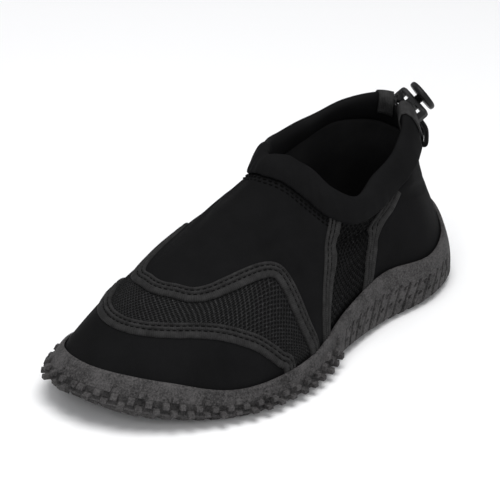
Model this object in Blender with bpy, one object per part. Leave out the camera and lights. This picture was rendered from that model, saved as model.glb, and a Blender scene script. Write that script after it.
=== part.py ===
"""A low water shoe for the left foot, built as its maker puts it together.

A rubber cup sole, a foam insole, one hollow neoprene and mesh upper, a folded collar, binding tapes,
and an elastic cord with a spring cord lock at the heel. Metres, +X towards the toe, +Y towards the
outer side of the foot, +Z up, standing on the lugs of its sole.

The form of the last comes from two short tables. A point on it is named by its arc, the distance
round the feather edge from the back of the heel along the outer side, the toe and the inner side,
and by v, from 0 at the feather edge to 1 at the collar seam.
"""

import math

import bmesh
import bpy
import numpy as np
from mathutils import Matrix, Vector

# The last
LAST_LENGTH = 0.244
BALL_WIDTH = 0.094
INSTEP_HEIGHT = 0.082
# The soft pieces
WALL = 0.0028
COLLAR_HEIGHT = 0.020
COLLAR_THICKNESS = 0.0075
INSOLE_THICKNESS = 0.004
TAPE_WIDTH = 0.0075
TAPE_THICKNESS = 0.0009
# The sole
HEEL_CUP = 0.032
BED_HEIGHT = 0.008
TOE_SPRING = 0.009
RIM_THICKNESS = 0.0022
FOOT_THICKNESS = 0.0032
LUG_HEIGHT = 0.0025
STUD_HEIGHT = 0.0015
GROOVE_DEPTH = 0.0012
GROOVE_LEAN = 0.46
GROOVED_FROM, GROOVED_TO = 0.06, 0.46
LEAN_FADE = 0.05
STUDDED_FROM = 0.50
WALL_ROWS = (0.30, 0.54, 0.78, 1.0)
TREAD_CORNER = 0.0012
LUGS_ACROSS = 4
CELL_MARGIN = 0.0004
# The cord lock
CORD_DIAMETER = 0.0024
LOCK_WIDTH = 0.0194
LOCK_HEIGHT = 0.0098
LOCK_DEPTH = 0.0062
BUTTON_DIAMETER = 0.0160
BUTTON_THICKNESS = 0.0032
PLUNGER_DIAMETER = 0.0044
PRESS_TRAVEL = 0.0016
WINDOW_WIDTH = 0.0052
WINDOW_HEIGHT = 0.0058
WINDOW_DROP = 0.0004
BARREL_WIDTH = 0.0046
BORE_DEPTH = 0.0026
FRAME_CORNER = 0.0018
# Room left between pieces
GAP = 0.0003
TAPE_GAP = 0.0004

PITCHES_PER_SIDE = 36
COLUMNS = 4 * PITCHES_PER_SIDE
TOE_COLUMN = COLUMNS // 2

# The feather edge in plan: along as a share of LAST_LENGTH, across of BALL_WIDTH
OUTLINE = (
    # name                along  across
    ("heel_back",         0.000, 0.000),
    ("heel_corner_outer", 0.050, 0.255),
    ("heel_side_outer",   0.160, 0.375),
    ("waist_back_outer",  0.320, 0.370),
    ("waist_front_outer", 0.470, 0.425),
    ("ball_outer",        0.630, 0.535),
    ("ball_front_outer",  0.770, 0.505),
    ("toe_side_outer",    0.890, 0.345),
    ("toe_corner_outer",  0.957, 0.165),
    ("toe_tip",           0.989, -0.070),
    ("toe_corner_inner",  0.962, -0.300),
    ("toe_side_inner",    0.880, -0.420),
    ("ball_front_inner",  0.770, -0.460),
    ("ball_inner",        0.640, -0.455),
    ("waist_front_inner", 0.480, -0.355),
    ("waist_back_inner",  0.330, -0.295),
    ("heel_side_inner",   0.160, -0.310),
    ("heel_corner_inner", 0.050, -0.245),
)
TOE_ROW = 9

# The sole, by the way from the heel (0) to the toe (1) along either side:
# lift of TOE_SPRING, bed of BED_HEIGHT above that, rim of HEEL_CUP
SOLE_ROWS = (
    # way lift  bed   rim
    (0.00, 0.14, 0.82, 1.00),
    (0.09, 0.07, 0.91, 0.85),
    (0.20, 0.00, 1.00, 0.74),
    (0.33, 0.00, 0.94, 0.82),
    (0.46, 0.08, 0.80, 0.67),
    (0.57, 0.00, 0.81, 0.53),
    (0.66, 0.00, 0.77, 0.47),
    (0.76, 0.12, 0.68, 0.46),
    (0.88, 0.60, 0.48, 0.66),
    (1.00, 1.10, 0.42, 0.76),
)

# The upper: seam_x of LAST_LENGTH from its middle, seam_y and flare of BALL_WIDTH, out of LAST_LENGTH,
# seam_z, rise and drop of INSTEP_HEIGHT, collar of COLLAR_HEIGHT, lean of the collar's height.
# The seam of the inner side is higher by inner_lift of INSTEP_HEIGHT and inner_in of BALL_WIDTH further in
UPPER_ROWS = (
    # way seam_x seam_y seam_z inner_lift inner_in rise flare out drop collar lean
    (0.00, -0.434, 0.000, 0.86, 0.00, 0.00, 0.38, 0.025, 0.006, 0.27, 0.90, 0.25),
    (0.09, -0.400, 0.142, 0.84, 0.08, 0.01, 0.29, 0.002, 0.000, 0.28, 0.82, 0.38),
    (0.20, -0.320, 0.261, 0.81, 0.14, 0.02, 0.25, 0.020, 0.012, 0.22, 0.64, 0.50),
    (0.33, -0.220, 0.298, 0.72, 0.19, 0.03, 0.23, 0.005, 0.016, 0.17, 0.60, 0.35),
    (0.46, -0.133, 0.312, 0.67, 0.20, 0.05, 0.24, 0.005, 0.012, 0.20, 0.60, 0.12),
    (0.60, -0.066, 0.266, 0.74, 0.15, 0.07, 0.30, 0.011, 0.041, 0.19, 0.72, 0.15),
    (0.74, -0.020, 0.181, 0.88, 0.04, 0.03, 0.29, 0.011, 0.094, 0.18, 0.74, 0.30),
    (0.88, 0.008, 0.096, 0.98, -0.02, 0.00, 0.26, 0.011, 0.164, 0.28, 0.54, 0.50),
    (1.00, 0.020, 0.000, 1.00, 0.00, 0.00, 0.21, 0.042, 0.221, 0.35, 0.42, 0.55),
)

# Tapes on the outer side: way, and height as a share of the upper between rim (0) and collar seam (1)
GUSSET_FRONT = (
    (0.590, 0.95), (0.590, 0.82), (0.585, 0.65), (0.574, 0.46), (0.560, 0.25), (0.546, 0.055),
)
GUSSET_REAR = (
    (0.322, 0.86), (0.348, 0.82), (0.374, 0.74), (0.386, 0.61), (0.384, 0.46), (0.386, 0.30),
    (0.384, 0.10),
)
VAMP_EDGE = (
    (0.592, 0.06), (0.635, 0.27), (0.681, 0.44), (0.715, 0.53), (0.740, 0.575), (0.765, 0.59), (0.794, 0.58),
    (0.823, 0.55), (0.855, 0.505), (0.885, 0.465), (0.915, 0.45), (0.960, 0.465),
)
TOE_EDGE = (
    (0.659, 0.055), (0.674, 0.09), (0.700, 0.16), (0.738, 0.235), (0.779, 0.275), (0.818, 0.288),
    (0.858, 0.283), (0.904, 0.273), (0.955, 0.265),
)

UPPER_ROWS_IN_CUP = 2
UPPER_ROWS_ABOVE = 8


def catmull_rom(points, closed, steps):
    """A smooth curve through the points, with the knots spaced by the root of each chord."""
    points = np.asarray(points, float)
    count = len(points)
    chord = np.sqrt(np.linalg.norm(np.roll(points, -1, axis=0) - points, axis=1))
    spans = range(count if closed else count - 1)
    part = (np.arange(steps) / steps)[:, None]
    pieces = []
    for i in spans:
        p1, p2 = points[i], points[(i + 1) % count]
        here = chord[i]
        p0, before = points[i - 1], chord[i - 1]
        p3, after = points[(i + 2) % count], chord[(i + 1) % count]
        if not closed and i == 0:
            p0, before = 2 * p1 - p2, here
        if not closed and i == count - 2:
            p3, after = 2 * p2 - p1, here
        start = (p2 - p1) / here - (p2 - p0) / (before + here) + (p1 - p0) / before
        end = (p3 - p2) / after - (p3 - p1) / (here + after) + (p2 - p1) / here
        start, end = start * here, end * here
        pieces.append(
            (2 * part**3 - 3 * part**2 + 1) * p1
            + (part**3 - 2 * part**2 + part) * start
            + (-2 * part**3 + 3 * part**2) * p2
            + (part**3 - part**2) * end
        )
    if not closed:
        pieces.append(points[-1:])
    return np.vstack(pieces)


def table_at(ways, keys, values):
    """The rows of a table joined by cubics that lie level at both ends."""
    keys = np.asarray(keys, float)
    values = np.asarray(values, float)
    span = np.diff(keys)
    slope = np.diff(values, axis=0) / span[:, None]
    tangent = np.zeros_like(values)
    weight = span[1:, None] + span[:-1, None]
    tangent[1:-1] = (slope[:-1] * span[1:, None] + slope[1:] * span[:-1, None]) / weight
    ways = np.clip(np.asarray(ways, float), keys[0], keys[-1])
    row = np.clip(np.searchsorted(keys, ways, side="right") - 1, 0, len(keys) - 2)
    part = ((ways - keys[row]) / span[row])[:, None]
    wide = span[row][:, None]
    return (
        (2 * part**3 - 3 * part**2 + 1) * values[row]
        + (part**3 - 2 * part**2 + part) * wide * tangent[row]
        + (-2 * part**3 + 3 * part**2) * values[row + 1]
        + (part**3 - part**2) * wide * tangent[row + 1]
    )


class Last:
    """The form that the shoe is made round, as functions of arc and v."""

    FEATHER_STEPS = 40

    def __init__(self):
        plan = [((along - 0.5) * LAST_LENGTH, across * BALL_WIDTH) for _, along, across in OUTLINE]
        self.feather = catmull_rom(plan, True, self.FEATHER_STEPS)
        lengths = np.linalg.norm(np.roll(self.feather, -1, axis=0) - self.feather, axis=1)
        self.arcs = np.concatenate([[0.0], np.cumsum(lengths)])
        self.around = self.arcs[-1]
        self.toe_arc = self.arcs[TOE_ROW * self.FEATHER_STEPS]

    def arc_of(self, way, outer=True):
        """The arc at a way from the heel (0) to the toe (1) along one side."""
        way = np.asarray(way, float)
        if outer:
            return way * self.toe_arc
        return self.around - way * (self.around - self.toe_arc)

    def way_of(self, arc):
        arc = np.mod(np.asarray(arc, float), self.around)
        outer = arc <= self.toe_arc
        way = np.where(outer, arc / self.toe_arc, (self.around - arc) / (self.around - self.toe_arc))
        return way, outer

    def feather_at(self, arc):
        arc = np.mod(arc, self.around)
        closed = np.vstack([self.feather, self.feather[:1]])
        return np.stack([np.interp(arc, self.arcs, closed[:, axis]) for axis in (0, 1)], axis=-1)

    def feather_normal(self, arc):
        """Level and outward, square to the feather edge."""
        reach = self.around / 400
        along = self.feather_at(arc + reach) - self.feather_at(arc - reach)
        along /= np.linalg.norm(along, axis=-1, keepdims=True)
        return np.stack([-along[:, 1], along[:, 0], np.zeros(len(along))], axis=-1)

    def sole_at(self, arc):
        """Height of the tread, of the cup floor and of the rubber's rim."""
        table = np.array(SOLE_ROWS)
        way, _ = self.way_of(arc)
        lift, bed, rim = table_at(way, table[:, 0], table[:, 1:]).T
        tread = np.maximum(lift, 0) * TOE_SPRING
        return tread, tread + bed * BED_HEIGHT, rim * HEEL_CUP

    def upper_at(self, arc):
        table = np.array(UPPER_ROWS)
        way, outer = self.way_of(arc)
        keys = table[:, 0]
        even = table_at(way, keys, table[:, 1:])
        mirrored = np.concatenate([-keys[:0:-1], keys, 2 - keys[-2::-1]])
        across = table[:, 2]
        odd = np.concatenate([-across[:0:-1], across, -across[-2::-1]])
        seam_y = table_at(way, mirrored, odd[:, None])[:, 0]
        seam_x, _, seam_z, inner_lift, inner_in, rise, flare, out, drop, collar, lean = even.T
        seam_y = np.where(outer, seam_y, inner_in - seam_y)
        seam_z = seam_z + np.where(outer, 0.0, inner_lift)
        seam = np.stack(
            [
                seam_x * LAST_LENGTH,
                seam_y * BALL_WIDTH,
                seam_z * INSTEP_HEIGHT,
            ],
            axis=-1,
        )
        tangents = rise * INSTEP_HEIGHT, flare * BALL_WIDTH, out * LAST_LENGTH, drop * INSTEP_HEIGHT
        return seam, *tangents, collar, lean

    def skin(self, arc, v):
        """A point on the outside of the upper: each column is one cubic from feather edge to seam."""
        arc = np.asarray(arc, float)
        v = np.broadcast_to(np.asarray(v, float), arc.shape)[:, None]
        _, floor, _ = self.sole_at(arc)
        seam, rise, flare, out, drop, _, _ = self.upper_at(arc)
        foot = np.concatenate([self.feather_at(arc), floor[:, None]], axis=1)
        low = foot + self.feather_normal(arc) * flare[:, None] + np.array([0, 0, 1.0]) * rise[:, None]
        away = foot - seam
        away[:, 2] = 0
        away /= np.linalg.norm(away, axis=1, keepdims=True)
        high = seam + away * out[:, None] - np.array([0, 0, 1.0]) * drop[:, None]
        return (1 - v) ** 3 * foot + 3 * (1 - v) ** 2 * v * low + 3 * (1 - v) * v**2 * high + v**3 * seam

    def normal(self, arc, v):
        arc = np.asarray(arc, float)
        v = np.broadcast_to(np.asarray(v, float), arc.shape)
        reach = self.around / 1000
        round_it = self.skin(arc + reach, v) - self.skin(arc - reach, v)
        higher = np.minimum(v + 0.01, 1)
        lower = np.maximum(v - 0.01, 0)
        up_it = self.skin(arc, higher) - self.skin(arc, lower)
        normal = np.cross(up_it, round_it)
        return normal / np.linalg.norm(normal, axis=1, keepdims=True)

    def lifted(self, arc, v, lift):
        """The skin moved outward by lift, or inward where lift is negative."""
        lift = np.broadcast_to(np.asarray(lift, float), np.shape(arc))
        return self.skin(arc, v) + self.normal(arc, v) * lift[:, None]

    def v_at_height(self, arc, height, lift=0.0):
        """The v at which the skin, moved outward by lift, reaches a height."""
        low = np.zeros(len(arc))
        high = np.ones(len(arc))
        for _ in range(24):
            middle = (low + high) / 2
            below = self.lifted(arc, middle, lift)[:, 2] < height
            low = np.where(below, middle, low)
            high = np.where(below, high, middle)
        return (low + high) / 2

    def rim_v(self, arc):
        return self.v_at_height(arc, self.sole_at(arc)[2])


LAST = Last()


def material(name, colour, roughness, metallic=0.0):
    found = bpy.data.materials.get(name)
    if found:
        return found
    made = bpy.data.materials.new(name)
    made.use_nodes = True
    shader = made.node_tree.nodes["Principled BSDF"]
    shader.inputs["Base Color"].default_value = (*colour, 1.0)
    shader.inputs["Roughness"].default_value = roughness
    shader.inputs["Metallic"].default_value = metallic
    return made


def neoprene():
    return material("neoprene", (0.010, 0.010, 0.011), 0.75)


def rubber():
    return material("rubber", (0.085, 0.082, 0.082), 0.70)


def woven_tape():
    return material("woven_tape", (0.026, 0.026, 0.028), 0.80)


def foam():
    return material("foam", (0.008, 0.008, 0.008), 0.95)


def hard_plastic():
    return material("hard_plastic", (0.035, 0.035, 0.037), 0.45)


def finish(name, mesh_data, finish_material):
    """Turns a bmesh into a named object with its faces pointing out."""
    bmesh.ops.recalc_face_normals(mesh_data, faces=mesh_data.faces)
    if mesh_data.calc_volume(signed=True) < 0:
        bmesh.ops.reverse_faces(mesh_data, faces=mesh_data.faces)
    mesh = bpy.data.meshes.new(name)
    mesh_data.to_mesh(mesh)
    mesh_data.free()
    mesh.shade_smooth()
    mesh.set_sharp_from_angle(angle=math.radians(40))
    mesh.materials.append(finish_material)
    made = bpy.data.objects.new(name, mesh)
    bpy.context.scene.collection.objects.link(made)
    return made


def add_rows(mesh_data, rows):
    """A list of vertices for each row of points."""
    return [[mesh_data.verts.new(point) for point in row] for row in rows]


def bridge(mesh_data, rows, ring):
    """Quads between successive rows of vertices. Returns them as one list for each pair of rows."""
    made = []
    for lower, upper in zip(rows, rows[1:]):
        count = len(lower)
        strip = []
        for i in range(count if ring else count - 1):
            j = (i + 1) % count
            strip.append(mesh_data.faces.new((lower[i], lower[j], upper[j], upper[i])))
        made.append(strip)
    return made


def rungs(mesh_data, edge, across):
    """Closes a ring of vertices with rungs from the outer side to the inner side. Returns the cells."""
    count = len(edge)
    toe = count // 2
    ladders = []
    for i in range(1, toe):
        start, end = edge[i], edge[count - i]
        inside = [
            mesh_data.verts.new(start.co.lerp(end.co, step / across))
            for step in range(1, across)
        ]
        ladders.append([start, *inside, end])
    cells = []
    for i, (one, two) in enumerate(zip(ladders, ladders[1:]), start=1):
        for j in range(across):
            cells.append((i, j, mesh_data.faces.new((one[j], one[j + 1], two[j + 1], two[j]))))
    for tip, ladder in ((edge[0], ladders[0]), (edge[toe], ladders[-1])):
        for j in range(across):
            mesh_data.faces.new((tip, ladder[j], ladder[j + 1]))
    return cells


def even_arcs(per_side):
    """Arcs from the heel round to the heel, evenly spaced along each side."""
    ways = np.arange(per_side) / per_side
    outer = LAST.arc_of(ways)
    inner = LAST.arc_of(1 - ways, outer=False)
    return np.concatenate([outer, inner])


def step_between(value, start, end):
    """0 below start, 1 above end, smooth between."""
    part = np.clip((value - start) / (end - start), 0, 1)
    return part * part * (3 - 2 * part)


def groove_shift(arc, height, middle):
    """Leans the columns of the heel's side back, top towards the heel, on both sides alike."""
    way, outer = LAST.way_of(arc)
    start, end = GROOVED_FROM, GROOVED_TO
    amount = step_between(way, start - LEAN_FADE, start + LEAN_FADE)
    amount = amount * (1 - step_between(way, end - LEAN_FADE, end + LEAN_FADE))
    back = np.where(outer, -1.0, 1.0)
    return arc + back * amount * GROOVE_LEAN * (height - middle)


def make_outsole():
    """A cup: inner wall 0.3 mm off the upper, outer wall with studs and grooves, lugs underneath."""
    arc = even_arcs(COLUMNS // 2)
    tread, floor, rim = LAST.sole_at(arc)
    base = tread + LUG_HEIGHT
    rim_v = LAST.rim_v(arc)
    floor_edge = LAST.lifted(arc, 0 * arc, GAP)
    floor_edge[:, 2] = floor - GAP
    half_way = LAST.lifted(arc, rim_v / 2, GAP)
    rim_inside = LAST.lifted(arc, rim_v, GAP)
    rim_outside = LAST.lifted(arc, rim_v, GAP + RIM_THICKNESS)
    middle = (rim + base) / 2
    walls = []
    for share in WALL_ROWS:
        height = rim + (base + TREAD_CORNER - rim) * share
        leaned = groove_shift(arc, height, middle)
        _, floor_here, _ = LAST.sole_at(leaned)
        v = LAST.v_at_height(leaned, np.maximum(height, floor_here))
        thickness = GAP + RIM_THICKNESS + (FOOT_THICKNESS - RIM_THICKNESS) * share
        row = LAST.lifted(leaned, v, thickness)
        row[:, 2] = height
        walls.append(row)
    inward = LAST.feather_normal(arc) * TREAD_CORNER
    tread_edge = walls[-1] - inward
    tread_edge[:, 2] = base

    bm = bmesh.new()
    rows = add_rows(bm, [floor_edge, half_way, rim_inside, rim_outside, *walls, tread_edge])
    strips = bridge(bm, rows, ring=True)
    rungs(bm, rows[0], 1)
    cells = rungs(bm, rows[-1], LUGS_ACROSS)
    bmesh.ops.recalc_face_normals(bm, faces=bm.faces)
    bm.normal_update()
    add_studs(bm, strips[4:7])
    add_grooves(bm, strips[4:7])
    add_lugs(bm, cells)
    return finish("outsole", bm, rubber())


def add_studs(bm, strips):
    """Three rows of square studs, staggered, round the forefoot. The top row has every other one."""
    studs = []
    for row, strip in enumerate(strips):
        for i, face in enumerate(strip):
            way, _ = LAST.way_of(np.array([LAST.around * (i + 0.5) / COLUMNS]))
            if way[0] < STUDDED_FROM:
                continue
            if (i + row) % 2 or (row == 0 and i % 4 == 0):
                continue
            studs.append(face)
    bmesh.ops.inset_individual(
        bm, faces=studs, thickness=CELL_MARGIN, depth=STUD_HEIGHT, use_even_offset=True
    )


def add_grooves(bm, strips):
    """Slanted grooves down the side of heel and waist, each through all three rows."""
    for i in range(0, COLUMNS, 2):
        way, _ = LAST.way_of(np.array([LAST.around * (i + 0.5) / COLUMNS]))
        if not GROOVED_FROM < way[0] < GROOVED_TO:
            continue
        faces = [strip[i] for strip in strips]
        bmesh.ops.inset_region(
            bm, faces=faces, thickness=CELL_MARGIN, depth=-GROOVE_DEPTH, use_even_offset=True
        )


def add_lugs(bm, cells):
    """Short bars across the tread, staggered like bricks, with flat tips."""
    faces = [face for i, j, face in cells if 3 <= i <= TOE_COLUMN - 4 and (i + j) % 2 == 0]
    bmesh.ops.inset_individual(bm, faces=faces, thickness=CELL_MARGIN, depth=0.0, use_even_offset=True)
    tips = {vert for face in faces for vert in face.verts}
    bmesh.ops.translate(bm, verts=list(tips), vec=(0, 0, -LUG_HEIGHT))


def make_insole():
    """A flat foam bed inside the upper's wall, lying on the cup floor."""
    arc = even_arcs(PITCHES_PER_SIDE)
    _, floor, _ = LAST.sole_at(arc)
    inset = -WALL - 2 * GAP
    low = LAST.lifted(arc, 0 * arc, inset)
    low[:, 2] = floor
    leaning = LAST.v_at_height(arc, floor + INSOLE_THICKNESS, inset)
    high = LAST.lifted(arc, leaning, inset)
    high[:, 2] = floor + INSOLE_THICKNESS
    bm = bmesh.new()
    rows = add_rows(bm, [low, high])
    bridge(bm, rows, ring=True)
    rungs(bm, rows[0], 1)
    rungs(bm, rows[1], 1)
    return finish("insole", bm, foam())


def upper_levels(rim_v):
    """The v of each row: a few inside the cup, the rest evenly up to the collar seam."""
    inside = [rim_v * step / UPPER_ROWS_IN_CUP for step in range(UPPER_ROWS_IN_CUP)]
    above = [rim_v + (1 - rim_v) * step / UPPER_ROWS_ABOVE for step in range(UPPER_ROWS_ABOVE + 1)]
    return inside + above


def make_upper():
    """One hollow wall, open underneath and at the collar."""
    arc = even_arcs(PITCHES_PER_SIDE)
    levels = upper_levels(LAST.rim_v(arc))
    outside = [LAST.skin(arc, v) for v in levels]
    inside = [LAST.lifted(arc, v, -WALL) for v in levels]
    for row in inside[:1]:
        row[:, 2] = outside[0][:, 2]
    bm = bmesh.new()
    rows = add_rows(bm, [*outside, *inside[::-1]])
    bridge(bm, [*rows, rows[0]], ring=True)
    return finish("upper", bm, neoprene())


# The collar's section, from its foot up the outer face, over the fold and down the inner face:
# out of COLLAR_THICKNESS from the upper's skin, up of the collar's own height
COLLAR_SECTION = (
    (0.20, 0.00), (0.30, 0.30), (0.26, 0.72), (0.04, 0.96),
    (-0.34, 1.00), (-0.62, 0.78), (-0.70, 0.35), (-0.60, 0.00),
)
# The dip in the collar behind the heel, where the cord comes out between its guides
NOTCH_DEPTH = 0.0065
NOTCH_HALF = 0.0115
NOTCH_SLOPE = 0.0016
COLLAR_HEEL_STEPS = 6
COLLAR_SIDE_STEPS = 22
GUIDE_LENGTH = 0.0150
GUIDE_STEPS = 4


def collar_frame(arc):
    """The seam point, its level outward normal, the collar's own upward direction and height."""
    reach = LAST.around / 400
    seam, *_, collar, lean = LAST.upper_at(arc)
    ahead = LAST.upper_at(arc + reach)[0]
    behind = LAST.upper_at(arc - reach)[0]
    along = ahead - behind
    along[:, 2] = 0
    along /= np.linalg.norm(along, axis=1, keepdims=True)
    outward = np.stack([-along[:, 1], along[:, 0], np.zeros(len(along))], axis=-1)
    upward = np.array([0, 0, 1.0]) - outward * lean[:, None]
    upward /= np.linalg.norm(upward, axis=1, keepdims=True)
    aside = np.minimum(np.mod(arc, LAST.around), LAST.around - np.mod(arc, LAST.around))
    notch = 1 - step_between(aside, NOTCH_HALF, NOTCH_HALF + NOTCH_SLOPE)
    return seam, outward, upward, collar * COLLAR_HEIGHT - notch * NOTCH_DEPTH


def collar_sections(arc, section, swell=0.0):
    """The section's points at each arc, moved away from its middle by swell."""
    seam, outward, upward, height = collar_frame(arc)
    middle_out = -0.2 * COLLAR_THICKNESS
    rows = []
    for out, up in section:
        foot = seam + np.array([0, 0, GAP])
        across = np.full(len(arc), out * COLLAR_THICKNESS)
        tall = up * height
        away = np.stack([across - middle_out, (tall - height / 2) * COLLAR_THICKNESS / height], axis=1)
        away /= np.linalg.norm(away, axis=1, keepdims=True)
        across = across + away[:, 0] * swell
        tall = tall + away[:, 1] * swell
        rows.append(foot + outward * across[:, None] + upward * tall[:, None])
    return rows


def collar_side_arcs():
    """Arcs along one side from behind the heel to the throat, close together at the notch."""
    notch_end = NOTCH_HALF + NOTCH_SLOPE
    near = np.linspace(0, notch_end, COLLAR_HEEL_STEPS)
    far = np.linspace(notch_end, LAST.toe_arc, COLLAR_SIDE_STEPS + 1)[1:]
    return np.concatenate([near, far])


def make_collar():
    """One folded band round the opening, with its notch behind the heel."""
    outer = collar_side_arcs()
    shrink = (LAST.around - LAST.toe_arc) / LAST.toe_arc
    near = outer <= NOTCH_HALF + NOTCH_SLOPE
    inner = LAST.around - np.where(near, outer, outer * shrink)
    arc = np.concatenate([outer, inner[-2:0:-1]])
    sections = np.stack(collar_sections(arc, COLLAR_SECTION), axis=1)
    bm = bmesh.new()
    rings = add_rows(bm, sections)
    bridge(bm, [*rings, rings[0]], ring=True)
    return finish("collar", bm, neoprene())


def make_cord_guides():
    """Tape saddles over the fold on each side of the notch, where the elastic cord comes out."""
    start = NOTCH_HALF + NOTCH_SLOPE
    saddle = COLLAR_SECTION[1:-1]
    for side in ("outer", "inner"):
        arc = np.linspace(start, start + GUIDE_LENGTH, GUIDE_STEPS)
        if side == "inner":
            arc = LAST.around - arc
        inside = collar_sections(arc, saddle, TAPE_GAP)
        outside = collar_sections(arc, saddle, TAPE_GAP + TAPE_THICKNESS)
        bm = bmesh.new()
        rings = add_rows(bm, np.stack([*inside, *outside[::-1]], axis=1))
        bridge(bm, rings, ring=True)
        for ring in (rings[0], rings[-1]):
            count = len(saddle)
            for i in range(count - 1):
                bm.faces.new((ring[i], ring[i + 1], ring[-2 - i], ring[-1 - i]))
        finish(f"cord_guide_{side}", bm, woven_tape())


def on_skin(arc, v, side_step, lift):
    """Steps off a point by a length across the skin, staying on it, then lifts."""
    reach = LAST.around / 1000
    round_it = (LAST.skin(arc + reach, v) - LAST.skin(arc - reach, v)) / (2 * reach)
    dv = 0.01
    up_it = (LAST.skin(arc, v + dv) - LAST.skin(arc, v - dv)) / (2 * dv)
    a = (round_it * round_it).sum(1)
    b = (round_it * up_it).sum(1)
    c = (up_it * up_it).sum(1)
    right = (round_it * side_step).sum(1)
    top = (up_it * side_step).sum(1)
    scale = a * c - b * b
    new_arc = arc + (c * right - b * top) / scale
    new_v = v + (a * top - b * right) / scale
    return LAST.lifted(new_arc, new_v, lift)


def tape_path(rows, outer, steps):
    """Arc and v along a tape, from its table of way and height above the rim."""
    ways, shares = np.array(rows).T
    arc = LAST.arc_of(ways, outer)
    rim_v = LAST.rim_v(arc)
    v = rim_v + (1 - rim_v) * shares
    scale = np.array([1.0, LAST_LENGTH / 3])
    smooth = catmull_rom(np.stack([arc, v], axis=1) * scale, False, steps) / scale
    return smooth


def make_tape(name, path, count):
    """A band of woven tape along a path of arc and v, a hair off the upper all the way."""
    points = LAST.skin(path[:, 0], path[:, 1])
    lengths = np.concatenate([[0], np.cumsum(np.linalg.norm(np.diff(points, axis=0), axis=1))])
    even = np.linspace(0, lengths[-1], count)
    arc = np.interp(even, lengths, path[:, 0])
    v = np.interp(even, lengths, path[:, 1])
    points = LAST.skin(arc, v)
    along = np.gradient(points, axis=0)
    along /= np.linalg.norm(along, axis=1, keepdims=True)
    across = np.cross(LAST.normal(arc, v), along)
    across /= np.linalg.norm(across, axis=1, keepdims=True)
    half = across * TAPE_WIDTH / 2
    top = TAPE_GAP + TAPE_THICKNESS
    corners = [
        on_skin(arc, v, -half, TAPE_GAP),
        on_skin(arc, v, 0 * half, TAPE_GAP),
        on_skin(arc, v, half, TAPE_GAP),
        on_skin(arc, v, half, top),
        on_skin(arc, v, 0 * half, top),
        on_skin(arc, v, -half, top),
    ]
    bm = bmesh.new()
    rings = add_rows(bm, np.stack(corners, axis=1))
    bridge(bm, rings, ring=True)
    bm.faces.new(rings[0])
    bm.faces.new(rings[-1])
    return finish(name, bm, woven_tape())


def make_tapes():
    for side, outer in (("outer", True), ("inner", False)):
        make_tape(f"gusset_front_tape_{side}", tape_path(GUSSET_FRONT, outer, 10), 9)
        make_tape(f"gusset_rear_tape_{side}", tape_path(GUSSET_REAR, outer, 10), 9)
    for name, rows, count in (("toe_tape", TOE_EDGE, 37), ("vamp_tape", VAMP_EDGE, 47)):
        outer_half = tape_path(rows, True, 10)
        inner_half = tape_path(rows, False, 10)
        whole = np.vstack([outer_half, inner_half[::-1]])
        make_tape(name, whole, count)


# Where the cord lock hangs behind the heel, and how it is turned: about the vertical, then over,
# then in the plane of its frame, and last about its own plunger
LOCK_CENTRE = Vector((-0.1143, -0.0049, 0.0779))
LOCK_TURN = math.radians(128)
LOCK_LEAN = math.radians(-25)
LOCK_TILT = math.radians(48)
LOCK_SPIN = math.radians(-30)

# The elastic cord, from the outer guide through the lock, round its loop and back to the inner guide.
# Straight stretches through the windows are in the lock's own axes.
CORD_LEAD_IN = ((-0.1006, 0.0018, 0.0846), (-0.1034, 0.0016, 0.0848))
CORD_LOOP = (
    (-0.1180, 0.0004, 0.0702),
    (-0.1202, 0.0018, 0.0660),
    (-0.1208, 0.0022, 0.0605),
    (-0.1208, 0.0016, 0.0583),
    (-0.1208, 0.0004, 0.0573),
    (-0.1208, -0.0008, 0.0583),
    (-0.1208, -0.0014, 0.0605),
    (-0.1206, -0.0022, 0.0665),
    (-0.1192, -0.0062, 0.0732),
)
CORD_LEAD_OUT = ((-0.1068, -0.0056, 0.0870), (-0.1036, -0.0026, 0.0866), (-0.1006, -0.0018, 0.0856))


def lock_matrix():
    """Local X along the frame's width, Y through its flat face, Z along the plunger."""
    return (
        Matrix.Translation(LOCK_CENTRE)
        @ Matrix.Rotation(LOCK_TURN, 4, "Z")
        @ Matrix.Rotation(LOCK_LEAN, 4, "X")
        @ Matrix.Rotation(LOCK_TILT, 4, "Y")
        @ Matrix.Rotation(LOCK_SPIN, 4, "Z")
    )


def box(name, size, centre=(0, 0, 0)):
    bm = bmesh.new()
    bmesh.ops.create_cube(bm, size=1.0)
    bmesh.ops.scale(bm, vec=size, verts=bm.verts)
    bmesh.ops.translate(bm, vec=centre, verts=bm.verts)
    mesh = bpy.data.meshes.new(name)
    bm.to_mesh(mesh)
    bm.free()
    made = bpy.data.objects.new(name, mesh)
    bpy.context.scene.collection.objects.link(made)
    return made


def bore(name, diameter, low, high, sides=16):
    bm = bmesh.new()
    bmesh.ops.create_cone(
        bm,
        cap_ends=True,
        segments=sides,
        radius1=diameter / 2,
        radius2=diameter / 2,
        depth=high - low,
        matrix=Matrix.Translation((0, 0, (high + low) / 2)),
    )
    mesh = bpy.data.meshes.new(name)
    bm.to_mesh(mesh)
    bm.free()
    made = bpy.data.objects.new(name, mesh)
    bpy.context.scene.collection.objects.link(made)
    return made


def cut(target, cutter):
    cutter.hide_render = True
    cutter.display_type = "WIRE"
    boolean = target.modifiers.new(cutter.name, "BOOLEAN")
    boolean.operation = "DIFFERENCE"
    boolean.solver = "EXACT"
    boolean.object = cutter


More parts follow.
